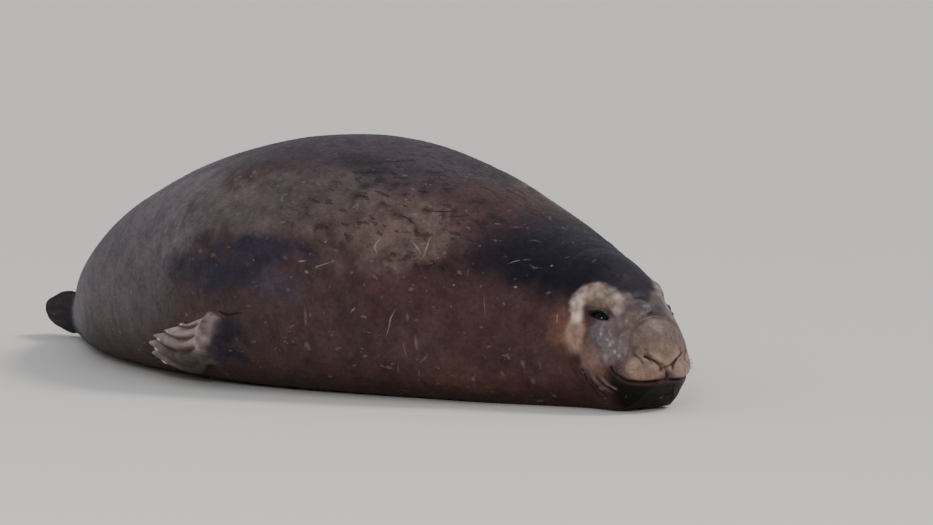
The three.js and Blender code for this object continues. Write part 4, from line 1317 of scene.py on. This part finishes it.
@dataclass
class Hide:
    """The one skin of the animal: trunk, head and flippers joined into a single surface."""

    form: SkinForm = field(default_factory=SkinForm)
    trunk_columns: int = 144
    tail_rings: int = 13
    trunk_rings: int = 156
    neck_rings: int = 22
    face_rings: int = 62
    nose_rings: int = 74
    neck_x: float = 1560.0
    face_x: float = 1720.0
    seam_reach: float = 0.034
    seam_rounds: int = 14
    seam_pull: float = 0.6
    keys_per_metre: float = 1e5  # points that share a key are the same point

    def angles(self, count: int) -> Array:
        """Returns angles round the body, drawn together on both flanks by a sine of twice the angle."""
        even = TAU * np.arange(count) / count
        return even - 0.16 * np.sin(2 * even)

    def trunk_and_head(self) -> Piece:
        """Builds the closed surface without flippers.

        Rings of points follow the body, with twice as many points a ring on the head; where the count
        changes, each quad of the trunk meets two of the head in one five-sided face.

        Returns:
            The object.
        """
        form, body = self.form, self.form.body
        round_tail = np.sin(np.linspace(np.pi / 2, 0, self.tail_rings)[1:])
        round_nose = np.sin(np.linspace(0, np.pi / 2, self.nose_rings)[1:-1])
        trunk_x = np.concatenate([body.tail_cap + (body.tail_end - body.tail_cap) * round_tail,
                                  np.linspace(body.tail_cap, self.neck_x, self.trunk_rings)[1:-1]])
        head_x = np.concatenate([np.linspace(self.neck_x, self.face_x, self.neck_rings),
                                 np.linspace(self.face_x, body.nose_cap, self.face_rings)[1:],
                                 body.nose_cap + (body.nose_end - body.nose_cap) * round_nose])
        few, many = self.angles(self.trunk_columns), self.angles(2 * self.trunk_columns)
        many[::2] = few
        trunk, _ = form.with_normal(trunk_x[:, None], few[None])
        head, _ = form.with_normal(head_x[:, None], many[None])
        (rump, tip), _ = form.with_normal(np.array([body.tail_end, body.nose_end]), np.zeros(2))
        rump[0] = body.tail_end + form.coat_depth
        lift = form.face(np.array([[body.nose_end, 0.0, tip[2]]]))[0] - form.coat_depth
        tip[:2] = body.nose_end + lift, body.midline(body.nose_end)
        points = np.concatenate([trunk.reshape(-1, 3), head.reshape(-1, 3), [rump, tip]])
        n, m, start = len(few), len(many), len(trunk) * len(few)
        quads = [ring_faces(i * n, (i + 1) * n, n) for i in range(len(trunk) - 1)]
        quads += [ring_faces(start + i * m, start + (i + 1) * m, m) for i in range(len(head) - 1)]
        j, last = np.arange(n), start - n
        fives = np.stack([last + j, last + (j + 1) % n, start + (2 * j + 2) % m, start + 2 * j + 1,
                          start + 2 * j], axis=1)
        nose = fan_faces(start + (len(head) - 1) * m, len(points) - 1, m, True)
        rear = fan_faces(0, len(points) - 2, n, False)
        return mesh_piece("hide", points, [np.concatenate(quads), fives, nose, rear])

    def join(self, skin: Piece, parts: Sequence[Piece]) -> None:
        """Joins the flippers to the skin as one surface, and takes the parts away.

        Args:
            skin: The trunk and head.
            parts: The flippers, as closed pieces.
        """
        for part in [skin, *parts]:
            face_outwards(part)
        for part in parts:
            union = skin.modifiers.new("join", "BOOLEAN")
            union.operation, union.solver, union.object = "UNION", "MANIFOLD", part
        graph = bpy.context.evaluated_depsgraph_get()
        joined = bpy.data.meshes.new_from_object(skin.evaluated_get(graph))
        skin.modifiers.clear()
        skin.data = joined
        for part in parts:
            bpy.data.objects.remove(part)
        joined.polygons.foreach_set("use_smooth", np.ones(len(joined.polygons), bool))
        joined.update()

    def soften_seams(self, skin: Piece, before: Array) -> None:
        """Rounds the roots of the flippers.

        Points that the joining made are the seam; points near it are drawn towards the mean of their
        neighbours, by a weight that fades over the reach.

        Args:
            skin: The joined skin.
            before: The points of skin and flippers before they were joined, in metres.
        """
        mesh, places = skin.data, places_of(skin)
        old, new = (np.round(at * self.keys_per_metre).astype(np.int64) for at in (before, places))
        known = set(map(tuple, old))
        fresh = np.array([tuple(key) not in known for key in new])
        seam = places[fresh]
        if not len(seam):
            LOG.warning("no seam was found on %s", skin.name)
            return
        tree = KDTree(len(seam))
        for i, point in enumerate(seam):
            tree.insert(point, i)
        tree.balance()
        low, high = seam.min(axis=0) - self.seam_reach, seam.max(axis=0) + self.seam_reach
        close = np.nonzero(((places > low) & (places < high)).all(axis=1))[0]
        weight = np.zeros(len(places))
        for i in close:
            weight[i] = max(0.0, 1 - tree.find(places[i])[2] / self.seam_reach)
        edges = np.empty(len(mesh.edges) * 2, np.int32)
        mesh.edges.foreach_get("vertices", edges)
        edges = edges.reshape(-1, 2)
        edges = edges[(weight[edges] > 0).any(axis=1)]
        for _ in range(self.seam_rounds):
            total = np.zeros_like(places)
            count = np.zeros(len(places))
            for a, b in ((0, 1), (1, 0)):
                np.add.at(total, edges[:, a], places[edges[:, b]])
                np.add.at(count, edges[:, a], 1)
            mean = total / np.maximum(count, 1)[:, None]
            places += (mean - places) * (self.seam_pull * weight * (count > 0))[:, None]
        mesh.vertices.foreach_set("co", places.astype(np.float32).ravel())
        mesh.update()

    def wetness(self, p: Array, markings: Markings) -> Array:
        """Works out where the hide is wet and bare: the muzzle, below the eye, the nape and the dark flank.

        Args:
            p: Points in millimetres.
            markings: The colours, which know the body.

        Returns:
            The wetness of each point, from 0 to 1.
        """
        local, x, z = markings.body.folded(p), p[:, 0], p[:, 2]
        face = smooth(x, 1850, 1960)
        under_eye = swelling(local, (1900, 190, 280), (80, 90, 80))
        flank = swelling(local, (500, 760, 430), (320, 200, 110)) * 0.6
        nape = smooth(x, 1350, 1700) * smooth(z, 380, 520) * 0.25
        patchy = 0.55 + 0.9 * speckle(p, 70, 71)
        dry = 1 - smooth(z, 125, 95) * smooth(x, 1800, 1900)
        return np.clip((np.maximum.reduce([face * 0.85, under_eye, flank, nape]) * patchy + 0.1) * dry, 0, 1)

    def build(self, markings: Markings, flippers: Sequence[Flipper]) -> Piece:
        """Builds, joins, colours and dresses the skin.

        Args:
            markings: The colours of the animal.
            flippers: The four flippers.

        Returns:
            The skin object.
        """
        skin = self.trunk_and_head()
        parts = [flipper.build(self.form) for flipper in flippers]
        before = np.concatenate([places_of(piece) for piece in (skin, *parts)])
        self.join(skin, parts)
        self.soften_seams(skin, before)
        p = places_of(skin) * 1000 + ORIGIN_MM
        store(skin, "tone", markings.flipper(p, markings.paint(p)))
        store(skin, "wet", self.wetness(p, markings))
        store(skin, "worn", markings.worn(p))
        skin.data.materials.clear()
        skin.data.materials.append(hide_finish())
        LOG.info("hide: %d points, %d faces", len(p), len(skin.data.polygons))
        return skin


def tube_shares(t: Array, count: int) -> Array:
    """Returns a value for each point of a closed tube: t on its rings, and 0 and 1 at its ends."""
    return np.concatenate([np.repeat(t, count), [0.0, 1.0]])


@dataclass
class Eyeball:
    """An eye: a ball with the clear cornea standing a little proud of it."""

    side: Side
    form: SkinForm
    rows: int = 40
    columns: int = 48
    cornea: float = 2.2
    clearance: float = 0.8

    def build(self, finish: Material) -> Piece:
        """Builds the eye.

        The radius is the ball's plus a bell of the angle from its pole, which is the cornea.

        Args:
            finish: The eye's material.

        Returns:
            The eye object.
        """
        centre, along, up, outward = self.form.eye_frame(self.side)
        tilt = np.linspace(0, np.pi, self.rows + 2)[1:-1, None]
        ball = self.form.eye.radius - self.clearance
        radius = ball + self.cornea * bell(tilt, 0.5)
        flat, high = radius * np.sin(tilt), (radius * np.cos(tilt))[..., None]
        rings = hoops(centre + high * outward, flat, flat, along, up, self.columns)
        surface = closed_tube(rings, centre + (ball + self.cornea) * outward, centre - ball * outward)
        ring = tube_shares(np.sin(np.minimum(tilt, np.pi / 2)), self.columns)
        return closed_piece(f"eyeball_{self.side.label}", surface, finish, ring=ring)


@dataclass
class LidMargin:
    """The dark wet margin of the lids, a ring round the almond of the opening."""

    side: Side
    form: SkinForm
    steps: int = 96
    sides: int = 12
    thick: float = 3.0
    stand: float = 3.0

    def build(self, finish: Material) -> Piece:
        """Builds the ring.

        Its line is the almond of the opening, of height (1 - |a / half length|^2.2)^0.9, laid on a ball just
        larger than the eye.

        Args:
            finish: The margin's material.

        Returns:
            The closed ring.
        """
        e = self.form.eye
        centre, along, up, outward = self.form.eye_frame(self.side)
        t = TAU * np.arange(self.steps) / self.steps
        upper = np.sin(t)
        a = e.half_length * np.cos(t)
        b = np.sign(upper) * e.almond(a, upper)
        c = np.sqrt((e.radius + self.stand) ** 2 - np.minimum(a**2 + b**2, e.radius**2))
        line = centre + a[:, None] * along + b[:, None] * up + c[:, None] * outward
        run = unit(np.roll(line, -1, axis=0) - np.roll(line, 1, axis=0))
        out = square_to(line - centre, run)
        wide = self.thick * (0.75 + 0.25 * np.abs(upper))[:, None] * np.where(upper > 0, 1.15, 0.85)[:, None]
        rings = hoops(line[:, None], wide, wide * 0.8, np.cross(run, out)[:, None], out[:, None], self.sides)
        faces = np.concatenate([ring_faces(i * self.sides, (i + 1) * self.sides, self.sides)
                                for i in range(self.steps)]) % (self.steps * self.sides)
        return closed_piece(f"lid_margin_{self.side.label}", (rings.reshape(-1, 3), [faces]), finish)


@dataclass
class Nails:
    """The five nails of one fore flipper."""

    flipper: ForeFlipper
    form: SkinForm
    length: float = 33.0
    width: float = 11.0
    height: float = 8.0
    rows: int = 9
    columns: int = 12
    curl: float = 2.2

    def build(self, finish: Material) -> Piece:
        """Builds the nails.

        Each is rings along a short arc that lifts by a sine, shrinking to its tip by 1 - t^1.7.

        Args:
            finish: The nails' material.

        Returns:
            One object that holds the five closed nails.
        """
        t = np.linspace(0, 0.97, self.rows)[:, None]
        size = (1 - t**1.7) * 0.5
        wide = self.width * size * (1 + 0.12 * np.cos(2 * TAU * np.arange(self.columns) / self.columns))
        tubes = []
        for bed, forward, outward in self.flipper.nail_frames(self.form):
            start, lift = bed - 0.5 * self.height * outward, 0.9 * self.height * outward
            centre = start + t[..., None] * self.length * forward + np.sin(self.curl * t)[..., None] * lift
            rings = hoops(centre, wide, self.height * size, np.cross(forward, outward), outward, self.columns)
            tip = start + self.length * forward + math.sin(self.curl) * lift
            tubes.append(closed_tube(rings, start - forward * 0.5, tip))
        along = np.tile(tube_shares(t, self.columns), len(tubes))
        return closed_piece(f"nails_{self.flipper.side.label}", bundled(tubes), finish, along=along)


@dataclass
class Whiskers:
    """Short stiff bristles on both whisker pads and over the eyes."""

    form: SkinForm
    rows: int = 3
    each: int = 5
    seed: int = 12
    steps: int = 7
    sides: int = 4

    def roots(self) -> list[tuple[Side, float, float, float]]:
        """Draws the places of the bristles.

        Returns:
            Side, x, z and length of each.
        """
        draw = np.random.default_rng(self.seed)
        found = []
        for side in Side:
            for row in range(self.rows):
                for i in range(self.each):
                    x = 1998 + i * 11 + row * 2 + draw.uniform(-2, 2)
                    z = 156 + row * 14 - i * 2.0 + draw.uniform(-2, 2)
                    found.append((side, min(x, 2058), z, draw.uniform(18, 40) * (1.1 - 0.08 * i)))
            for i in range(4):
                found.append((side, 1842 + i * 9, 428 - i * 6, draw.uniform(14, 24)))
        return found

    def build(self, finish: Material) -> Piece:
        """Builds the bristles.

        Each is a thin four-sided cone along an arc that leaves the skin slanting back and droops.

        Args:
            finish: The bristles' material.

        Returns:
            One object that holds them all.
        """
        draw = np.random.default_rng(self.seed + 1)
        t = np.linspace(0, 0.97, self.steps)[:, None]
        radius = 0.75 * (1 - t) + 0.1
        tubes = []
        for side, x, z, length in self.roots():
            root, outward = self.form.with_normal(np.array(x), np.array(self.form.body.angle_at(side, x, z)))
            lie = np.array([-0.65 + draw.uniform(-0.2, 0.2), side.value * 0.5,
                            -0.25 + draw.uniform(-0.15, 0.1)])
            way = unit(outward * 0.6 + lie * 0.7)
            droop = length * np.array([-0.12, 0, -0.25])
            centre = root - outward * 2 + t * length * way + t**2 * droop
            across = unit(np.cross(way, (0, 0, 1.0)))
            rings = hoops(centre[:, None], radius, radius, across, np.cross(way, across), self.sides)
            tubes.append(closed_tube(rings, centre[0], root + length * way + droop))
        along = np.tile(tube_shares(t, self.sides), len(tubes))
        return closed_piece("whiskers", bundled(tubes), finish, along=along)


@dataclass(frozen=True)
class Scar:
    """A healed scratch or nick: places along it as (x, degrees up the flank), its width and its colour."""

    path: Marks
    width: float
    colour: Triple


PALE = (0.25, 0.20, 0.175)
FAINT = (0.12, 0.088, 0.076)
DARK = (0.010, 0.006, 0.008)
# painted shade: the near-black of the arm's crease
CREASE_SHADE = (0.003, 0.002, 0.002)


@dataclass
class Scars:
    """Scratches and nicks, and the painted shade of the arm's crease, as thin crowned strips sunk into the
    hide.
    """

    form: SkinForm
    markings: Markings
    seed: int = 77
    rows: int = 9
    columns: int = 5
    # the arm's crease, painted near-black as shade: places as (x, z)
    crease: Marks = ((366, 311), (410, 306), (466, 294), (512, 301), (556, 306))
    crease_width: float = 17.0
    seen: tuple[Scar, ...] = (
        Scar(((1120, 40), (1160, 37), (1195, 34)), 9, PALE),
        Scar(((1172, 46), (1190, 39), (1205, 32)), 9, PALE),
        Scar(((1115, 55), (1140, 49), (1150, 45)), 10, FAINT),
        Scar(((1020, 37), (1012, 32), (1045, 27)), 8, PALE),
        Scar(((1165, 6), (1120, -5)), 8, PALE), Scar(((1010, 3), (985, 0)), 8, PALE),
        Scar(((1190, -5), (1200, -14)), 12, FAINT), Scar(((1290, -9), (1245, -17)), 12, FAINT),
        Scar(((1160, -18), (1140, -27)), 10, FAINT), Scar(((1240, -20), (1220, -29)), 11, FAINT),
        Scar(((755, 17), (790, 18)), 12, PALE), Scar(((815, 15), (860, 18), (905, 21)), 6, PALE),
        Scar(((1480, 44), (1500, 49), (1535, 52)), 8, PALE), Scar(((1350, 70), (1380, 76)), 9, FAINT),
        Scar(((1460, 66), (1500, 70)), 8, FAINT), Scar(((1460, -4), (1482, -10)), 9, FAINT),
        Scar(((1370, 36), (1385, 30)), 8, FAINT), Scar(((1455, 24), (1470, 15), (1480, 8)), 6, FAINT),
        Scar(((1520, 21), (1530, 17)), 9, PALE), Scar(((1708, 20), (1710, 12)), 8, PALE),
        Scar(((828, 27), (836, 28)), 11, PALE), Scar(((886, 20), (893, 20.5)), 11, PALE),
        Scar(((790, 14), (815, 13)), 16, PALE), Scar(((848, 16), (856, 16)), 10, FAINT),
        Scar(((808, 1), (812, -4)), 18, FAINT), Scar(((800, -10), (820, -15)), 34, FAINT),
        Scar(((1206, 5), (1212, 0)), 20, FAINT), Scar(((1240, -2), (1244, -9)), 20, FAINT),
        Scar(((1348, 24), (1354, 24)), 10, PALE), Scar(((568, 14), (574, 14)), 8, PALE),
        Scar(((1300, 68), (1325, 70)), 16, FAINT), Scar(((1608, 52), (1614, 53)), 14, PALE),
        Scar(((1536, 30), (1548, 31)), 12, PALE), Scar(((1590, -8), (1596, -15)), 24, FAINT),
        Scar(((1610, -22), (1620, -28)), 28, FAINT), Scar(((1650, -8), (1652, -16)), 14, FAINT),
        Scar(((1545, -1), (1556, -5)), 18, FAINT), Scar(((1515, -17), (1530, -23)), 26, FAINT),
    )

    @property
    def arm_crease(self) -> Scar:
        """Returns the crease where the arm meets the flank, painted near-black as shade, from its places as
        (x, z).
        """
        up = [math.degrees(self.form.body.angle_at(Side.LEFT, x, z)) for x, z in self.crease]
        return Scar(tuple(zip([x for x, _ in self.crease], up)), self.crease_width, CREASE_SHADE)

    def far_side(self) -> list[Scar]:
        """Draws marks of the same kinds for the side that isn't seen.

        Returns:
            The marks, from a seeded draw.
        """
        draw = np.random.default_rng(self.seed)
        found = []
        for _ in range(46):
            x, up = draw.uniform(500, 1680), draw.uniform(-22, 78)
            run, climb = draw.uniform(6, 70), draw.uniform(-11, 11)
            bend = draw.uniform(-3, 3)
            colour = (PALE, FAINT, FAINT)[int(draw.integers(3))]
            path = ((x, up), (x + run / 2, up + climb / 2 + bend), (x + run, up + climb))
            found.append(Scar(path, float(draw.uniform(6, 18)), colour))
        for _ in range(16):
            x, up = draw.uniform(-1200, 400), draw.uniform(0, 80)
            found.append(Scar(((x, up), (x + draw.uniform(8, 40), up + draw.uniform(-3, 3))), 8.0, FAINT))
        return found

    def strip(self, side: Side, scar: Scar, draw: np.random.Generator) -> tuple[Surface, Array]:
        """Shapes one mark.

        Across, its height over the hide is a parabola from sunk edges to a low crown; along, its width
        swells and fades by a sine, broken a little by a draw. A copy sunk in the hide closes it.

        Args:
            side: The side of the animal.
            scar: The mark.
            draw: The seeded draw for its ragged edge.

        Returns:
            The closed surface and a colour for each point.
        """
        path = np.asarray(scar.path, float)
        t, knots = np.linspace(0, 1, self.rows), np.linspace(0, 1, len(path))
        x, up = (through(knots, values, t) for values in path.T)
        spine, outward = self.form.with_normal(x, side.angle(np.radians(up)))
        run = unit(np.gradient(spine, axis=0))
        ragged = draw.uniform(0.75, 1.2, self.rows)
        wide = scar.width * (0.25 + 0.75 * np.sin(np.pi * (0.08 + 0.84 * t))) * ragged
        short = max(0.0, scar.width - np.linalg.norm(spine[-1] - spine[0]))
        spine = spine + run * ((t - 0.5) * short)[:, None]
        s = np.linspace(-1, 1, self.columns)
        crown = 1.5 * (1 - s**2) * np.sin(np.pi * (0.04 + 0.92 * t))[:, None] - 0.5
        aside = (wide[:, None] * s / 2)[..., None] * np.cross(outward, run)[:, None]
        top = spine[:, None] + aside + crown[..., None] * outward[:, None]
        low = top - (crown + 3.0)[..., None] * outward[:, None]
        points, faces = closed_sheet(low, top)
        depth = (1 - np.abs(s)) ** 0.5 * np.sin(np.pi * (0.05 + 0.9 * t))[:, None]
        tone = laid(self.markings.paint(points), [(scar.colour, 0.9 * np.tile(depth.ravel(), 2))])
        return (points, [np.concatenate(faces)]), tone

    def build(self, finish: Material) -> Piece:
        """Builds the marks of both sides as one object.

        Args:
            finish: The hide's material.

        Returns:
            The object.
        """
        draw = np.random.default_rng(self.seed + 1)
        welts = [Scar(path, width, DARK) for path, _, width in self.markings.welts if width]
        marks = ((Side.RIGHT, [*self.seen, *welts]), (Side.LEFT, self.far_side()))
        strips = [self.strip(side, scar, draw) for side, scars in marks for scar in (self.arm_crease, *scars)]
        surface = bundled([surface for surface, _ in strips])
        tone = np.concatenate([tone for _, tone in strips])
        return closed_piece("scars", surface, finish, tone=tone, wet=np.full(len(tone), 0.15))


@dataclass
class Coat:
    """Short tufts of hair that lie back along the body and just break its outline."""

    form: SkinForm
    markings: Markings
    count: int = 46000
    seed: int = 5
    length: float = 17.0
    width: float = 2.0
    lift: float = 0.13
    tail_end: float = -1690.0
    nose_end: float = 2010.0
    floor_gap: float = 28.0
    eye_gap: float = 78.0
    map_start: float = -1740.0
    map_length: float = 3820.0
    map_patch: float = 0.003

    def build(self, finish: Material) -> Piece:
        """Builds the tufts.

        Roots are drawn over the skin with a seeded draw. Each tuft is a closed sliver with three points at
        its root and one at its tip, which lies back along the body and lifts by a small share of its length.

        Args:
            finish: The coat's material.

        Returns:
            The coat object, with the OFBake map of its roots.
        """
        draw = np.random.default_rng(self.seed)
        x = draw.uniform(self.tail_end, self.nose_end, self.count)
        angle = draw.uniform(0, TAU, self.count)
        root, outward = self.form.with_normal(x, angle)
        off = self.form.body.folded(root)[:, 1]
        hand = (x > -130) & (x < 580) & (root[:, 2] < 320) & (off > 500)
        keep = (root[:, 2] > self.floor_gap) & ~hand
        for side in Side:
            keep &= np.linalg.norm(root - self.form.eye_frame(side)[0], axis=1) > self.eye_gap
        x, angle, root, outward = x[keep], angle[keep], root[keep], outward[keep]
        face = smooth(x, 1600, 1900)
        long = (self.length * (1 - 0.68 * face)) * draw.uniform(0.7, 1.3, len(x))
        wide = self.width * (1 - 0.45 * face) * draw.uniform(0.7, 1.3, len(x))
        lie = np.tile([-1.0, 0.0, -0.22], (len(x), 1)) + draw.normal(0, 0.13, (len(x), 3))
        lie = square_to(lie, outward)
        aside = np.cross(outward, lie) * (wide / 2)[:, None]
        lift = self.lift * draw.uniform(0.3, 1.5, len(x)) * (1 - 0.4 * face)
        left = root + aside - outward * 0.4
        right = root - aside - outward * 0.4
        front = root - lie * (wide * 0.9)[:, None] - outward * 1.4
        tip = root + lie * long[:, None] + outward * (lift * long)[:, None]
        points = np.stack([left, right, front, tip], axis=1).reshape(-1, 3)
        base = 4 * np.arange(len(x))[:, None]
        faces = np.concatenate([base + np.array(f) for f in ((0, 1, 3), (1, 2, 3), (2, 0, 3), (0, 2, 1))])
        tone = self.markings.paint(root) * draw.uniform(0.85, 1.35, len(x))[:, None]
        piece = closed_piece("coat_tufts", (points, [faces]), finish, tone=np.repeat(tone, 4, axis=0))
        piece.data.shade_flat()
        self.map_roots(piece, x, angle)
        LOG.info("coat: %d tufts", len(x))
        return piece

    def map_roots(self, piece: Piece, x: Array, angle: Array) -> None:
        """Gives each tuft a small patch at its root's place on the unrolled skin.

        Args:
            piece: The coat object.
            x: Places of the roots along the body.
            angle: Angles of the roots round it.
        """
        u = (x - self.map_start) / self.map_length
        v = np.mod(angle, TAU) / TAU
        corner = self.map_patch * (np.array([[0, 0], [1, 0], [0, 1], [1, 1]]) - 0.5)
        patch = np.clip(np.stack([u, v], axis=1)[:, None] + corner[None], 0, 1).reshape(-1, 2)
        layer = piece.data.uv_layers.new(name="OFBake")
        index = np.empty(len(piece.data.loops), np.int32)
        piece.data.loops.foreach_get("vertex_index", index)
        layer.data.foreach_set("uv", patch[index].astype(np.float32).ravel())


@dataclass
class Studio:
    """The floor, the lights and the camera at the photograph's angle."""

    azimuth: float = 49.95
    distance: float = 16.94
    sideways_px: float = -153.8
    focal_px: float = 4290.0
    height: float = 1.707
    pitch: float = 4.326
    frame_px: float = 933.0
    sensor_mm: float = 36.0
    far_end: float = 800.0
    floor_half_mm: float = 300000.0
    sun_width: float = 16.0
    sky: Triple = (0.88, 0.93, 1.0)
    sky_strength: float = 0.62
    aim: Triple = (0.3, 0.0, 0.4)

    def camera(self) -> None:
        """Places the camera: back along its azimuth, a little aside, and tilted down by its pitch."""
        a, p = math.radians(self.azimuth), math.radians(self.pitch)
        back = Vector((math.sin(a), -math.cos(a), 0))
        right = Vector((math.cos(a), math.sin(a), 0))
        place = back * self.distance - right * (self.sideways_px / self.focal_px * self.distance)
        place += Vector((0, 0, self.height)) - Vector(ORIGIN_MM / 1000)
        ahead = -back * math.cos(p) - Vector((0, 0, math.sin(p)))
        above = right.cross(ahead)
        data = bpy.data.cameras.new("camera")
        data.sensor_width = self.sensor_mm
        data.lens = self.sensor_mm * self.focal_px / self.frame_px
        data.clip_end = self.far_end
        made = bpy.data.objects.new("camera", data)
        turned = Matrix((right, above, -ahead)).transposed().to_4x4()
        made.matrix_world = Matrix.Translation(place) @ turned
        bpy.context.scene.collection.objects.link(made)
        bpy.context.scene.camera = made

    def lamp(self, name: str, place: Triple, power: float, colour: Triple, size: float = 0.0) -> None:
        """Adds a lamp that points at the middle of the animal: a square one, or a sun if its size is 0.

        Args:
            name: The lamp's name.
            place: Where it stands, in metres.
            power: Its power in watts, or the sun's strength.
            colour: Its colour.
            size: The length of a square lamp's edge in metres.
        """
        data = bpy.data.lights.new(name, "AREA" if size else "SUN")
        data.energy, data.color = power, colour
        if size:
            data.size = size
        else:
            data.angle = math.radians(self.sun_width)
        made = bpy.data.objects.new(name, data)
        made.location = place
        made.rotation_euler = (Vector(self.aim) - Vector(place)).to_track_quat("-Z", "Y").to_euler()
        bpy.context.scene.collection.objects.link(made)

    def floor(self) -> None:
        """Lays the pale floor."""
        corners = np.array([[-1, -1, 0], [1, -1, 0], [1, 1, 0], [-1, 1, 0]])
        piece = mesh_piece("floor", ORIGIN_MM + self.floor_half_mm * corners, [np.arange(4)[None]])
        piece.data.materials.append(floor_finish())

    def build(self) -> None:
        """Builds floor, sky light, lamps and camera."""
        self.floor()
        world = bpy.data.worlds.new("studio")
        bpy.context.scene.world = world
        world.use_nodes = True
        sky = world.node_tree.nodes["Background"]
        sky.inputs["Color"].default_value = (*self.sky, 1.0)
        sky.inputs["Strength"].default_value = self.sky_strength
        self.lamp("key", (4.0, 6.5, 9.5), 1.45, (1.0, 0.95, 0.88))
        self.lamp("fill", (9.5, -9.0, 5.0), 460, (1.0, 0.98, 0.96), 2.2)
        self.camera()


FLESH = ("rump", "loin", "belly", "chest", "shoulders", "neck", "tail", "head", "proboscis", "lower_jaw",
         "fore_flipper_right", "fore_flipper_left", "hind_flipper_right", "hind_flipper_left")


def ride(piece: Piece, slot: str, *nodes: str) -> None:
    """Fastens a piece to the animal, hides the nodes it stands for and names them in the log."""
    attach(piece, "root")
    if nodes:
        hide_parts(*nodes)
    LOG.info("%s stands for %s", piece.name, ", ".join(nodes) or "detail of its own")


def main() -> None:
    """Builds the whole scene."""
    logging.basicConfig(level=logging.INFO, format="%(name)s: %(message)s")
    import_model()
    form = SkinForm()
    markings = Markings(form)
    fores = [ForeFlipper(side) for side in Side]
    hinds = [HindFlipper(side) for side in Side]
    skin = Hide(form).build(markings, [*fores, *hinds])
    ride(skin, "skin_flank", *FLESH)
    eye, nail, margin = eye_finish(), nail_finish(), margin_finish()
    for fore in fores:
        label = fore.side.label
        ride(Eyeball(fore.side, form).build(eye), "eye", f"eye_{label}")
        ride(LidMargin(fore.side, form).build(margin), "skin_face")
        ride(Nails(fore, form).build(nail), "claw", *(f"claw_{label}_{k}" for k in range(1, 6)))
    ride(Whiskers(form).build(whisker_finish()), "claw")
    ride(Scars(form, markings).build(skin.data.materials[0]), "skin_flank")
    ride(Coat(form, markings).build(coat_finish()), "skin_back")
    Studio().build()


if __name__ == "__main__":
    main()
